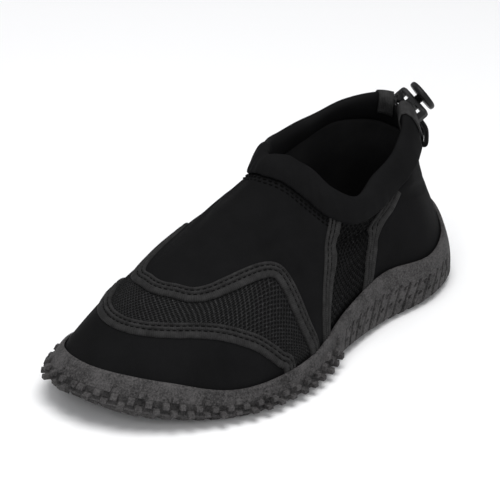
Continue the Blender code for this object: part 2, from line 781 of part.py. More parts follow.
def make_lock_body():
    """A flat frame with a window each side of its barrel and a bore for the plunger."""
    body = box("cord_lock_body", (LOCK_WIDTH, LOCK_DEPTH, LOCK_HEIGHT))
    body.data.materials.append(hard_plastic())
    soften = body.modifiers.new("soften", "BEVEL")
    soften.width = FRAME_CORNER
    soften.segments = 2
    soften.limit_method = "ANGLE"
    for side in (-1, 1):
        offset = side * (BARREL_WIDTH + WINDOW_WIDTH) / 2
        name = "window_outer" if side > 0 else "window_inner"
        window = box(name, (WINDOW_WIDTH, 2 * LOCK_DEPTH, WINDOW_HEIGHT), (offset, 0, -WINDOW_DROP))
        window.parent = body
        cut(body, window)
    top = LOCK_HEIGHT / 2
    hole = bore("plunger_bore", PLUNGER_DIAMETER + 2 * GAP, top - BORE_DEPTH, top + LOCK_HEIGHT)
    hole.parent = body
    cut(body, hole)
    body.matrix_world = lock_matrix()


def make_lock_button():
    """A domed disc on its plunger, which stands in the bore and can be pressed down to the frame."""
    top = LOCK_HEIGHT / 2
    foot = top - BORE_DEPTH + GAP + PRESS_TRAVEL
    face = top + GAP + PRESS_TRAVEL
    radius = BUTTON_DIAMETER / 2
    edge = BUTTON_THICKNESS / 4
    profile = (
        (0.0, foot),
        (PLUNGER_DIAMETER / 2, foot),
        (PLUNGER_DIAMETER / 2, face),
        (radius - edge, face),
        (radius, face + edge),
        (radius - edge / 3, face + 2.5 * edge),
        (radius / 2, face + 3.7 * edge),
        (0.0, face + BUTTON_THICKNESS),
    )
    bm = bmesh.new()
    verts = [bm.verts.new((across, 0, height)) for across, height in profile]
    edges = [bm.edges.new(pair) for pair in zip(verts, verts[1:])]
    bmesh.ops.spin(
        bm,
        geom=[*verts, *edges],
        cent=(0, 0, 0),
        axis=(0, 0, 1),
        angle=math.radians(360),
        steps=16,
        use_merge=True,
    )
    bmesh.ops.remove_doubles(bm, verts=bm.verts, dist=0.00001)
    button = finish("cord_lock_button", bm, hard_plastic())
    button.matrix_world = lock_matrix()


def cord_route():
    """The cord's own points, in world axes."""
    place = lock_matrix()
    aside = (BARREL_WIDTH + WINDOW_WIDTH) / 2
    half = LOCK_DEPTH / 2

    def through(x, y):
        return tuple(place @ Vector((x, y, -WINDOW_DROP)))

    outer_window = [through(aside, -half - 0.001), through(aside, half + 0.001)]
    inner_window = [through(-aside, half + 0.001), through(-aside, -half - 0.001)]
    return [*CORD_LEAD_IN, *outer_window, *CORD_LOOP, *inner_window, *CORD_LEAD_OUT]


def make_drawcord():
    smooth = catmull_rom(cord_route(), False, 6)
    lengths = np.concatenate([[0], np.cumsum(np.linalg.norm(np.diff(smooth, axis=0), axis=1))])
    count = int(lengths[-1] / (1.6 * CORD_DIAMETER)) + 1
    even = np.linspace(0, lengths[-1], count)
    points = np.stack([np.interp(even, lengths, smooth[:, axis]) for axis in range(3)], axis=1)
    curve = bpy.data.curves.new("drawcord", "CURVE")
    curve.dimensions = "3D"
    spline = curve.splines.new("POLY")
    spline.points.add(count - 1)
    for knot, point in zip(spline.points, points):
        knot.co = (*point, 1.0)
    curve.bevel_depth = CORD_DIAMETER / 2
    curve.bevel_resolution = 2
    curve.use_fill_caps = True
    curve.materials.append(material("elastic", (0.020, 0.020, 0.022), 0.7))
    made = bpy.data.objects.new("drawcord", curve)
    bpy.context.scene.collection.objects.link(made)


def clear_scene():
    for thing in list(bpy.data.objects):
        bpy.data.objects.remove(thing)


def stand_on_origin(resting):
    """Hangs every piece on one empty, which puts the middle of the base at the origin."""
    bpy.context.view_layer.update()
    graph = bpy.context.evaluated_depsgraph_get()
    corners = []
    for name in resting:
        seen = bpy.data.objects[name].evaluated_get(graph)
        corners += [seen.matrix_world @ Vector(corner) for corner in seen.bound_box]
    low = np.min(corners, axis=0)
    high = np.max(corners, axis=0)
    shoe = bpy.data.objects.new("shoe", None)
    bpy.context.scene.collection.objects.link(shoe)
    for thing in bpy.data.objects:
        if thing.parent is None and thing is not shoe:
            thing.parent = shoe
    shoe.location = (-(low[0] + high[0]) / 2, -(low[1] + high[1]) / 2, -low[2])


clear_scene()
make_outsole()
make_insole()
make_upper()
make_collar()
make_cord_guides()
make_tapes()
make_lock_body()
make_lock_button()
make_drawcord()
stand_on_origin(("outsole", "upper", "collar", "cord_guide_outer", "cord_guide_inner"))
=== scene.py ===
# %% [markdown]
# # A water shoe for the left foot
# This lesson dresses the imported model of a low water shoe. The real one is sewn from thin neoprene and
# open mesh, bound with woven tape, and pressed into a moulded rubber cup. An elastic cord runs in its
# collar and comes out behind the heel through a push-button cord lock.
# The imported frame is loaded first, so every piece made below lands where the solid one is.

import math

import bmesh
import bpy
import numpy as np
from mathutils import Matrix, Vector


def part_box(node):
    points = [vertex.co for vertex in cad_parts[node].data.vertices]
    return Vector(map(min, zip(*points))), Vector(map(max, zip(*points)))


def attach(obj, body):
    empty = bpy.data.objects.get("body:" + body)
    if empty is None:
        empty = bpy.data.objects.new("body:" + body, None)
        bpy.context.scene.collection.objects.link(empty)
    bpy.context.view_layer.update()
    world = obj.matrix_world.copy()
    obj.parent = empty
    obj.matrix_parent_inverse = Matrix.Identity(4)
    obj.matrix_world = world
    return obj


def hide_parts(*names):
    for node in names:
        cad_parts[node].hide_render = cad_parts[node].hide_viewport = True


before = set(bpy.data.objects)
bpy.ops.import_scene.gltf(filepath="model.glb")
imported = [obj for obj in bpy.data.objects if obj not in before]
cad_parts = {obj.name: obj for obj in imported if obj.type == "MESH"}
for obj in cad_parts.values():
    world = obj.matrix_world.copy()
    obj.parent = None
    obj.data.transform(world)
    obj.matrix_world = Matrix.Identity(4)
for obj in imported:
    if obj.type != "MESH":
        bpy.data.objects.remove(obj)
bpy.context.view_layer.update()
print("nodes in the frame:", sorted(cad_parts))

# %% [markdown]
# ## The camera
# The picture is taken from the outer side, ahead of the toe and above it. A long lens a good way off
# keeps the shoe's proportions nearly flat, as a catalogue picture does, so the camera is placed by two
# angles and a distance. It is rolled by a small amount, because the picture isn't quite level.

# %% Place the camera
VIEW_AZIMUTH = math.radians(38.0)
VIEW_HEIGHT = math.radians(25.4)
VIEW_ROLL = math.radians(2.3)
VIEW_DISTANCE = 1.37
LENS_MM = 214.0
SENSOR_MM = 36.0
FAR_CLIP = 20.0
AIM = Vector((0.0047, -0.0100, 0.0415))

level_share = math.cos(VIEW_HEIGHT)
towards_camera = Vector(
    (level_share * math.cos(VIEW_AZIMUTH), level_share * math.sin(VIEW_AZIMUTH), math.sin(VIEW_HEIGHT))
)
camera_data = bpy.data.cameras.new("camera")
camera_data.lens = LENS_MM
camera_data.sensor_width = SENSOR_MM
camera_data.clip_end = FAR_CLIP
camera = bpy.data.objects.new("camera", camera_data)
bpy.context.scene.collection.objects.link(camera)
level = towards_camera.to_track_quat("Z", "Y").to_matrix().to_4x4()
camera.matrix_world = (
    Matrix.Translation(AIM + towards_camera * VIEW_DISTANCE) @ level @ Matrix.Rotation(VIEW_ROLL, 4, "Z")
)
bpy.context.scene.camera = camera
print("camera at", [round(value, 3) for value in camera.matrix_world.translation])

# %% [markdown]
# ## The last
# A shoe takes its form from a last, a solid foot-like block. Here the last is two short tables: the
# edge of the sole in plan, and the opening under the collar. Each column of the upper is one curve
# from the edge of the sole to the collar. The tables are the same as in the solid model, as shares of a
# few real sizes, so the fine surface lies exactly on the solid one.

# %% Sizes and tables
LAST_LENGTH = 0.244
BALL_WIDTH = 0.094
INSTEP_HEIGHT = 0.082
WALL = 0.0028
COLLAR_HEIGHT = 0.020
COLLAR_THICKNESS = 0.0075
HEEL_CUP = 0.032
BED_HEIGHT = 0.008
TOE_SPRING = 0.009
GAP = 0.0003
MM = 0.001
UP = np.array([0, 0, 1.0])

OUTLINE = (
    # name                along  across
    ("heel_back",         0.000, 0.000),
    ("heel_corner_outer", 0.050, 0.255),
    ("heel_side_outer",   0.160, 0.375),
    ("waist_back_outer",  0.320, 0.370),
    ("waist_front_outer", 0.470, 0.425),
    ("ball_outer",        0.630, 0.535),
    ("ball_front_outer",  0.770, 0.505),
    ("toe_side_outer",    0.890, 0.345),
    ("toe_corner_outer",  0.957, 0.165),
    ("toe_tip",           0.989, -0.070),
    ("toe_corner_inner",  0.962, -0.300),
    ("toe_side_inner",    0.880, -0.420),
    ("ball_front_inner",  0.770, -0.460),
    ("ball_inner",        0.640, -0.455),
    ("waist_front_inner", 0.480, -0.355),
    ("waist_back_inner",  0.330, -0.295),
    ("heel_side_inner",   0.160, -0.310),
    ("heel_corner_inner", 0.050, -0.245),
)
TOE_ROW = 9
EDGE_STEPS = 40

SOLE_ROWS = (
    # way lift  bed   rim
    (0.00, 0.14, 0.82, 1.00),
    (0.09, 0.07, 0.91, 0.85),
    (0.20, 0.00, 1.00, 0.74),
    (0.33, 0.00, 0.94, 0.82),
    (0.46, 0.08, 0.80, 0.67),
    (0.57, 0.00, 0.81, 0.53),
    (0.66, 0.00, 0.77, 0.47),
    (0.76, 0.12, 0.68, 0.46),
    (0.88, 0.60, 0.48, 0.66),
    (1.00, 1.10, 0.42, 0.76),
)

UPPER_ROWS = (
    # way seam_x seam_y seam_z inner_lift inner_in rise flare out drop collar lean
    (0.00, -0.434, 0.000, 0.86, 0.00, 0.00, 0.38, 0.025, 0.006, 0.27, 0.90, 0.25),
    (0.09, -0.400, 0.142, 0.84, 0.08, 0.01, 0.29, 0.002, 0.000, 0.28, 0.82, 0.38),
    (0.20, -0.320, 0.261, 0.81, 0.14, 0.02, 0.25, 0.020, 0.012, 0.22, 0.64, 0.50),
    (0.33, -0.220, 0.298, 0.72, 0.19, 0.03, 0.23, 0.005, 0.016, 0.17, 0.60, 0.35),
    (0.46, -0.133, 0.312, 0.67, 0.20, 0.05, 0.24, 0.005, 0.012, 0.20, 0.60, 0.12),
    (0.60, -0.066, 0.266, 0.74, 0.15, 0.07, 0.30, 0.011, 0.041, 0.19, 0.72, 0.15),
    (0.74, -0.020, 0.181, 0.88, 0.04, 0.03, 0.29, 0.011, 0.094, 0.18, 0.74, 0.30),
    (0.88, 0.008, 0.096, 0.98, -0.02, 0.00, 0.26, 0.011, 0.164, 0.28, 0.54, 0.50),
    (1.00, 0.020, 0.000, 1.00, 0.00, 0.00, 0.21, 0.042, 0.221, 0.35, 0.42, 0.55),
)
print("last", LAST_LENGTH, "long,", BALL_WIDTH, "across the ball")

# %% [markdown]
# A few helpers join the rows of a table. One draws a smooth closed or open curve through points. Another
# reads the columns of a table at any way from heel to toe, level at both ends, so the left and right
# halves meet without a ridge.


# %% Curves through the tables
def unit(vectors):
    return vectors / np.linalg.norm(vectors, axis=-1, keepdims=True)


def lengths_along(points):
    """The length run so far at each point of a line."""
    return np.concatenate([[0], np.cumsum(np.linalg.norm(np.diff(points, axis=0), axis=1))])


def read_rows(at, keys, rows):
    """Rows between the given ones, found column by column."""
    return np.stack([np.interp(at, keys, column) for column in rows.T], axis=-1)


def quarter_turn(along):
    """Level directions square to the given ones."""
    return np.stack([-along[:, 1], along[:, 0], np.zeros(len(along))], axis=-1)


def hermite(part, start, leaving, end, arriving):
    """The cubic between two values with a slope at each."""
    return (
        (2 * part**3 - 3 * part**2 + 1) * start
        + (part**3 - 2 * part**2 + part) * leaving
        + (-2 * part**3 + 3 * part**2) * end
        + (part**3 - part**2) * arriving
    )


def smooth_curve(points, closed, steps):
    points = np.asarray(points, float)
    count = len(points)
    chord = np.sqrt(np.linalg.norm(np.roll(points, -1, axis=0) - points, axis=1))
    part = (np.arange(steps) / steps)[:, None]
    pieces = []
    for i in range(count if closed else count - 1):
        p1, p2 = points[i], points[(i + 1) % count]
        here = chord[i]
        p0, before = points[i - 1], chord[i - 1]
        p3, after = points[(i + 2) % count], chord[(i + 1) % count]
        if not closed and i == 0:
            p0, before = 2 * p1 - p2, here
        if not closed and i == count - 2:
            p3, after = 2 * p2 - p1, here
        start = (p2 - p1) / here - (p2 - p0) / (before + here) + (p1 - p0) / before
        end = (p3 - p2) / after - (p3 - p1) / (here + after) + (p2 - p1) / here
        pieces.append(hermite(part, p1, start * here, p2, end * here))
    if not closed:
        pieces.append(points[-1:])
    return np.vstack(pieces)


def table_at(ways, keys, values):
    keys = np.asarray(keys, float)
    values = np.asarray(values, float)
    span = np.diff(keys)
    slope = np.diff(values, axis=0) / span[:, None]
    tangent = np.zeros_like(values)
    weight = span[1:, None] + span[:-1, None]
    tangent[1:-1] = (slope[:-1] * span[1:, None] + slope[1:] * span[:-1, None]) / weight
    ways = np.clip(np.asarray(ways, float), keys[0], keys[-1])
    row = np.clip(np.searchsorted(keys, ways, side="right") - 1, 0, len(keys) - 2)
    part = ((ways - keys[row]) / span[row])[:, None]
    wide = span[row][:, None]
    return hermite(part, values[row], wide * tangent[row], values[row + 1], wide * tangent[row + 1])


def soft_step(value, start, end):
    part = np.clip((value - start) / (end - start), 0, 1)
    return part * part * (3 - 2 * part)


def soft_band(value, start, end, edge):
    return soft_step(value, start - edge, start + edge) * (1 - soft_step(value, end - edge, end + edge))


print("a step half way:", float(soft_step(np.array(0.5), 0.0, 1.0)))

# %% [markdown]
# The last itself answers four questions: where is the edge of the sole, how high are the tread, the
# cup floor and the rim, where is a point of the upper's skin, and which way does that skin face.
# A point is named by its arc, the distance round the edge from the back of the heel, and by v, which
# is 0 at the edge of the sole and 1 under the collar.


# %% The last as functions
class Last:
    def __init__(self):
        plan = [((along - 0.5) * LAST_LENGTH, across * BALL_WIDTH) for _, along, across in OUTLINE]
        edge = smooth_curve(plan, True, EDGE_STEPS)
        self.edge = np.vstack([edge, edge[:1]])
        self.arcs = lengths_along(self.edge)
        self.around = self.arcs[-1]
        self.toe_arc = self.arcs[TOE_ROW * EDGE_STEPS]

    def arc_of(self, way, outer=True):
        way = np.asarray(way, float)
        if outer:
            return way * self.toe_arc
        return self.around - way * (self.around - self.toe_arc)

    def way_of(self, arc):
        arc = np.mod(np.asarray(arc, float), self.around)
        outer = arc <= self.toe_arc
        way = np.where(outer, arc / self.toe_arc, (self.around - arc) / (self.around - self.toe_arc))
        return way, outer

    def edge_at(self, arc):
        return read_rows(np.mod(arc, self.around), self.arcs, self.edge)

    def edge_normal(self, arc):
        reach = self.around / 400
        return quarter_turn(unit(self.edge_at(arc + reach) - self.edge_at(arc - reach)))

    def sole_at(self, arc):
        table = np.array(SOLE_ROWS)
        way, _ = self.way_of(arc)
        lift, bed, rim = table_at(way, table[:, 0], table[:, 1:]).T
        tread = np.maximum(lift, 0) * TOE_SPRING
        return tread, tread + bed * BED_HEIGHT, rim * HEEL_CUP

    def upper_at(self, arc):
        table = np.array(UPPER_ROWS)
        way, outer = self.way_of(arc)
        keys = table[:, 0]
        even = table_at(way, keys, table[:, 1:])
        mirrored = np.concatenate([-keys[:0:-1], keys, 2 - keys[-2::-1]])
        across = table[:, 2]
        odd = np.concatenate([-across[:0:-1], across, -across[-2::-1]])
        seam_y = table_at(way, mirrored, odd[:, None])[:, 0]
        seam_x, _, seam_z, inner_lift, inner_in, rise, flare, out, drop, collar, lean = even.T
        seam_y = np.where(outer, seam_y, inner_in - seam_y)
        seam_z = seam_z + np.where(outer, 0.0, inner_lift)
        seam = np.stack([seam_x * LAST_LENGTH, seam_y * BALL_WIDTH, seam_z * INSTEP_HEIGHT], axis=-1)
        tangents = rise * INSTEP_HEIGHT, flare * BALL_WIDTH, out * LAST_LENGTH, drop * INSTEP_HEIGHT
        return seam, *tangents, collar, lean

    def skin(self, arc, v):
        arc = np.asarray(arc, float)
        v = np.broadcast_to(np.asarray(v, float), arc.shape)[:, None]
        _, floor, _ = self.sole_at(arc)
        seam, rise, flare, out, drop, _, _ = self.upper_at(arc)
        foot = np.concatenate([self.edge_at(arc), floor[:, None]], axis=1)
        low = foot + self.edge_normal(arc) * flare[:, None] + UP * rise[:, None]
        away = foot - seam
        away[:, 2] = 0
        high = seam + unit(away) * out[:, None] - UP * drop[:, None]
        return (1 - v) ** 3 * foot + 3 * (1 - v) ** 2 * v * low + 3 * (1 - v) * v**2 * high + v**3 * seam

    def normal(self, arc, v):
        arc = np.asarray(arc, float)
        v = np.broadcast_to(np.asarray(v, float), arc.shape)
        reach = self.around / 1000
        round_it = self.skin(arc + reach, v) - self.skin(arc - reach, v)
        up_it = self.skin(arc, np.minimum(v + 0.01, 1)) - self.skin(arc, np.maximum(v - 0.01, 0))
        return unit(np.cross(up_it, round_it))

    def lifted(self, arc, v, lift):
        lift = np.broadcast_to(np.asarray(lift, float), np.shape(arc))
        return self.skin(arc, v) + self.normal(arc, v) * lift[:, None]

    def v_at_height(self, arc, height):
        low = np.zeros(len(arc))
        high = np.ones(len(arc))
        for _ in range(20):
            middle = (low + high) / 2
            below = self.skin(arc, middle)[:, 2] < height
            low = np.where(below, middle, low)
            high = np.where(below, high, middle)
        return (low + high) / 2

    def rim_v(self, arc):
        return self.v_at_height(arc, self.sole_at(arc)[2])


last = Last()
print("round the edge of the sole:", round(last.around, 3))

# %% [markdown]
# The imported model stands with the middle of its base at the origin. The last's own origin is the
# middle of the last, so the two differ by a few millimetres. The upper's box tells by how much.

# %% Find the last's place in the frame
heel_to_toe = last.skin(np.linspace(0, last.around, 720, endpoint=False), 0.0)
low_corner = np.array(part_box("upper")[0])
PLACE = np.array([low_corner[0] - heel_to_toe[:, 0].min(), low_corner[1] - heel_to_toe[:, 1].min(), 0.0])
print("the last is moved by", PLACE.round(5))

# %% [markdown]
# ## Fine surfaces from grids of points
# Most of the shoe is cloth or rubber that follows the last, so a piece is a grid of points: rows and
# columns of places on the last, lifted by a small relief. One helper turns such a grid into a mesh.
# It also writes a flat map in real metres, which lets a weave or a row of holes keep its true size.


# %% A mesh from a grid
def piece_from_grid(name, grid, finish, flat=None, ring=False, loop=False, capped=False):
    """ring joins the last column to the first, loop the last row to the first."""
    flat = flat_map(grid, ring, loop) if flat is None else flat
    rows, columns, _ = grid.shape
    across = columns if ring else columns - 1
    up = rows if loop else rows - 1
    r, c = np.meshgrid(np.arange(up), np.arange(across), indexing="ij")
    r, c = r.ravel(), c.ravel()
    r1, c1 = (r + 1) % rows, (c + 1) % columns
    corners = np.stack([r * columns + c, r * columns + c1, r1 * columns + c1, r1 * columns + c], axis=1)
    mesh = bpy.data.meshes.new(name)
    points = grid.reshape(-1, 3) + PLACE
    mesh.from_pydata(points.tolist(), [], corners.tolist())
    layer = mesh.uv_layers.new(name="flat")
    spots = np.stack([flat[r, c], flat[r, c + 1], flat[r + 1, c + 1], flat[r + 1, c]], axis=1)
    layer.data.foreach_set("uv", spots.reshape(-1).astype(np.float32))
    return link_piece(name, mesh, finish, capped)


def link_piece(name, mesh, finish, capped=False):
    bm = bmesh.new()
    bm.from_mesh(mesh)
    if capped:
        bmesh.ops.holes_fill(bm, edges=[edge for edge in bm.edges if edge.is_boundary], sides=0)
    bmesh.ops.recalc_face_normals(bm, faces=bm.faces)
    bm.to_mesh(mesh)
    bm.free()
    mesh.shade_smooth()
    mesh.update()
    mesh.materials.append(finish)
    return link_to_scene(name, mesh)


def link_to_scene(name, data):
    made = bpy.data.objects.new(name, data)
    bpy.context.scene.collection.objects.link(made)
    return made


def skin_grid(arc, v, lift):
    """Points for whole grids of arc, v and lift."""
    points = last.lifted(arc.ravel(), v.ravel(), np.broadcast_to(lift, arc.shape).ravel())
    return points.reshape(*arc.shape, 3)


def flat_map(grid, ring=False, loop=False):
    """Metres along and up the grid, measured on its middle row and middle column."""
    rows, columns, _ = grid.shape
    middle = grid[rows // 2]
    column = grid[:, columns // 2]
    if ring:
        middle = np.vstack([middle, middle[:1]])
    if loop:
        column = np.vstack([column, column[:1]])
    return np.stack(np.meshgrid(lengths_along(middle), lengths_along(column)), axis=-1)


def triangles(piece):
    piece.data.calc_loop_triangles()
    return len(piece.data.loop_triangles)


print("helpers ready")

# %% [markdown]
# ## The finishes
# Each finish is made from nodes alone. Neoprene has a knitted face: tiny ribs, no gloss and a slightly
# uneven black. The mesh has round holes in painted shade, in staggered rows between slightly glossy
# threads with painted glints. The tape is ribbed across. The rubber is charcoal with a fine speckle.
# Numbers that don't vary over the surface are typed on the shader itself, because they export best that
# way.


# %% A small kit for materials
def new_finish(name, colour, roughness, gloss):
    made = bpy.data.materials.new(name)
    made.use_nodes = True
    tree = made.node_tree
    shader = tree.nodes["Principled BSDF"]
    shader.inputs["Base Color"].default_value = (*colour, 1.0)
    shader.inputs["Roughness"].default_value = roughness
    shader.inputs["Specular IOR Level"].default_value = gloss
    return made, tree, shader


def add_node(tree, kind, **values):
    """Each value is a setting of the node or one of its sockets, whose name may have spaces."""
    made = tree.nodes.new(kind)
    for key, value in values.items():
        socket = key.replace("_", " ").title()
        if socket in made.inputs:
            made.inputs[socket].default_value = value
        else:
            setattr(made, key, value)
    return made


def noise(tree, scale, detail, roughness):
    made = add_node(tree, "ShaderNodeTexNoise", scale=scale, detail=detail, roughness=roughness)
    place = add_node(tree, "ShaderNodeTexCoord")
    tree.links.new(place.outputs["Object"], made.inputs["Vector"])
    return made.outputs["Fac"]


def flat_coordinates(tree):
    return add_node(tree, "ShaderNodeUVMap", uv_map="flat").outputs["UV"]


def ribs(tree, scale, distortion, detail):
    made = add_node(tree, "ShaderNodeTexWave", scale=scale, distortion=distortion, detail=detail)
    tree.links.new(flat_coordinates(tree), made.inputs["Vector"])
    return made.outputs["Fac"]


def math_node(tree, operation, *values):
    made = add_node(tree, "ShaderNodeMath", operation=operation)
    for socket, value in zip(made.inputs, values):
        if isinstance(value, (int, float)):
            socket.default_value = value
        else:
            tree.links.new(value, socket)
    return made.outputs["Value"]


def colour_ramp(tree, factor, stops):
    made = add_node(tree, "ShaderNodeValToRGB")
    ramp = made.color_ramp
    while len(ramp.elements) < len(stops):
        ramp.elements.new(0.5)
    for element, (position, colour) in zip(ramp.elements, stops):
        element.position = position
        element.color = (*colour, 1.0)
    tree.links.new(factor, made.inputs["Fac"])
    return made.outputs["Color"]


def times(colour, share):
    return tuple(part * share for part in colour)


def shade_between(tree, shader, factor, colour, *stops):
    """Each stop is a place on the ramp and a share of the colour."""
    shades = [(position, times(colour, share)) for position, share in stops]
    tree.links.new(colour_ramp(tree, factor, shades), shader.inputs["Base Color"])


def rough_from(tree, shader, factor, amount, least):
    tree.links.new(math_node(tree, "MULTIPLY_ADD", factor, amount, least), shader.inputs["Roughness"])


def bump_from(tree, shader, height, depth, strength):
    made = add_node(tree, "ShaderNodeBump", strength=strength, distance=depth)
    tree.links.new(height, made.inputs["Height"])
    tree.links.new(made.outputs["Normal"], shader.inputs["Normal"])


print("material kit ready")


# %% Neoprene with a knitted face
def knitted_neoprene(name, colour):
    made, tree, shader = new_finish(name, colour, 0.78, 0.03)
    cloudy = noise(tree, 55.0, 5.0, 0.6)
    shade_between(tree, shader, cloudy, colour, (0.30, 0.82), (0.72, 1.25))
    rough_from(tree, shader, cloudy, 0.22, 0.66)
    fine = noise(tree, 1500.0, 2.0, 0.6)
    knit = math_node(tree, "MULTIPLY", ribs(tree, 420.0, 1.2, 1.0), 0.6)
    bump_from(tree, shader, math_node(tree, "ADD", knit, fine), 0.00012, 0.5)
    return made


neoprene = knitted_neoprene("knitted_neoprene", (0.0062, 0.0062, 0.0065))
collar_neoprene = knitted_neoprene("collar_neoprene", (0.0066, 0.0066, 0.0069))
lining = knitted_neoprene("lining", (0.0170, 0.0170, 0.0174))
print("finishes:", neoprene.name, collar_neoprene.name, lining.name)

# %% [markdown]
# The mesh's pattern is a grid of round holes turned by 45 degrees, which staggers the rows as the
# real knit does. A Voronoi texture with no randomness measures the distance to the nearest hole's
# middle, and that distance drives colour, gloss and depth together. The holes' colour is painted
# shade, and a fine noise paints glints on the threads.


# %% Open mesh
TOE_MESH_PITCH = 0.0022
SIDE_MESH_PITCH = 0.0031
# The holes' colour is painted shade, darker than the neoprene that lies behind them.
HOLE_PAINTED_SHADE = (0.0014, 0.0014, 0.0015)


def open_mesh(name, pitch, colour, painted_glint, gloss):
    made, tree, shader = new_finish(name, colour, 0.55, gloss)
    per_cell = math.sqrt(2) / pitch
    eighth = (0.0, 0.0, math.radians(45))
    turned = add_node(tree, "ShaderNodeMapping", rotation=eighth, scale=(per_cell,) * 3)
    tree.links.new(flat_coordinates(tree), turned.inputs["Vector"])
    holes = add_node(tree, "ShaderNodeTexVoronoi", voronoi_dimensions="2D", scale=1.0, randomness=0.0)
    tree.links.new(turned.outputs["Vector"], holes.inputs["Vector"])
    edge = add_node(
        tree, "ShaderNodeMapRange", interpolation_type="SMOOTHSTEP", from_min=0.28, from_max=0.46
    )
    tree.links.new(holes.outputs["Distance"], edge.inputs["Value"])
    thread = edge.outputs["Result"]
    # This noise paints highlights on the threads and also roughens their bump.
    sparkle = noise(tree, 1100.0, 3.0, 0.7)
    both = add_node(tree, "ShaderNodeMix", data_type="RGBA")
    tree.links.new(thread, both.inputs["Factor"])
    # The holes take the painted shade colour.
    both.inputs["A"].default_value = (*HOLE_PAINTED_SHADE, 1.0)
    # Painted highlights: the brightest spots of the noise reach 4.5 times the painted glint colour.
    lit = colour_ramp(tree, sparkle, ((0.44, colour), (0.64, painted_glint), (0.78, times(painted_glint, 4.5))))
    tree.links.new(lit, both.inputs["B"])
    tree.links.new(both.outputs["Result"], shader.inputs["Base Color"])
    rough_from(tree, shader, thread, -0.35, 0.85)
    height = math_node(tree, "ADD", thread, math_node(tree, "MULTIPLY", sparkle, 0.35))
    bump_from(tree, shader, height, 0.0005, 0.9)
    return made


# The second colour of each mesh finish is its painted glint.
toe_cloth = open_mesh("toe_mesh_cloth", TOE_MESH_PITCH, (0.0058,) * 3, (0.0190, 0.0190, 0.0195), 0.12)
side_cloth = open_mesh("side_mesh_cloth", SIDE_MESH_PITCH, (0.0028,) * 3, (0.0130, 0.0130, 0.0133), 0.04)
print("finishes:", toe_cloth.name, side_cloth.name)


# %% Woven tape, thread and elastic
RIBS_PER_SCALE = 3.183


def ribbed_cloth(name, colour, ribs_per_metre, depth, roughness):
    made, tree, shader = new_finish(name, colour, roughness, 0.08)
    rib = ribs(tree, ribs_per_metre / RIBS_PER_SCALE, 0.6, 2.0)
    uneven = noise(tree, 260.0, 4.0, 0.6)
    fibre = noise(tree, 2200.0, 2.0, 0.6)
    shade = math_node(tree, "MULTIPLY_ADD", rib, 0.14, uneven)
    shade_between(tree, shader, shade, colour, (0.35, 0.60), (0.80, 1.5))
    height = math_node(tree, "ADD", rib, math_node(tree, "MULTIPLY", fibre, 0.4))
    bump_from(tree, shader, height, depth, 0.8)
    return made


woven_tape = ribbed_cloth("ribbed_tape", (0.0205, 0.0202, 0.0202), 1100.0, 0.00012, 0.72)
guide_tape = ribbed_cloth("guide_tape", (0.0300, 0.0297, 0.0297), 1100.0, 0.00022, 0.68)
# The tape's thread is dark, and is made near black as painted shade of the stitch holes along the tape.
dark_thread_with_painted_shade = ribbed_cloth("sewing_thread_with_painted_shade", (0.0022, 0.0022, 0.0023), 2600.0, 0.00008, 0.70)
black_thread = ribbed_cloth("black_thread", (0.0012, 0.0012, 0.0012), 2600.0, 0.00008, 0.80)
cord_finish = ribbed_cloth("elastic_cord", (0.0095, 0.0095, 0.0098), 900.0, 0.00030, 0.62)
print("finishes:", woven_tape.name, guide_tape.name, dark_thread_with_painted_shade.name, cord_finish.name)


# %% Rubber, moulded plastic and foam
def moulded(name, colour, roughness, speckle, grain):
    made, tree, shader = new_finish(name, colour, roughness, 0.20)
    flecks = noise(tree, 1100.0, 3.0, 0.80)
    stain = noise(tree, 120.0, 5.0, 0.65)
    both = math_node(tree, "MULTIPLY_ADD", stain, 0.55, math_node(tree, "MULTIPLY", flecks, speckle))
    shade_between(tree, shader, both, colour, (0.56, 0.35), (0.84, 1.8))
    rough_from(tree, shader, stain, 0.2, roughness - 0.1)
    bump_from(tree, shader, flecks, grain, 0.6)
    return made


rubber = moulded("speckled_rubber", (0.044, 0.0420, 0.0420), 0.74, 0.85, 0.00045)
# Painted shade: a darker copy of the rubber for the gaps between the forefoot studs.
stud_gap_painted_shade_rubber = moulded("rubber_painted_shade_between_studs", (0.027, 0.0258, 0.0258), 0.78, 0.85, 0.00045)
# Painted shade: a much darker copy of the rubber for the bottoms of the heel slots and dimples.
hollow_painted_shade_rubber = moulded("rubber_painted_shade_in_hollows", (0.0085, 0.0082, 0.0082), 0.82, 0.85, 0.00045)
plastic = moulded("satin_plastic", (0.019, 0.019, 0.020), 0.42, 0.25, 0.00004)
foam = moulded("faced_foam", (0.007, 0.007, 0.008), 0.92, 0.6, 0.00030)
print("finishes:", rubber.name, plastic.name, foam.name)

# %% [markdown]
# ## Where the panels meet
# The tapes bind the edges between neoprene and mesh. Two of them sweep over the toes in a wave, and two
# short ones stand on each side. A tape is a row of ways from heel to toe with heights between the rim
# of the rubber and the collar. The lowest rows run down inside the rubber, as the real tapes do.

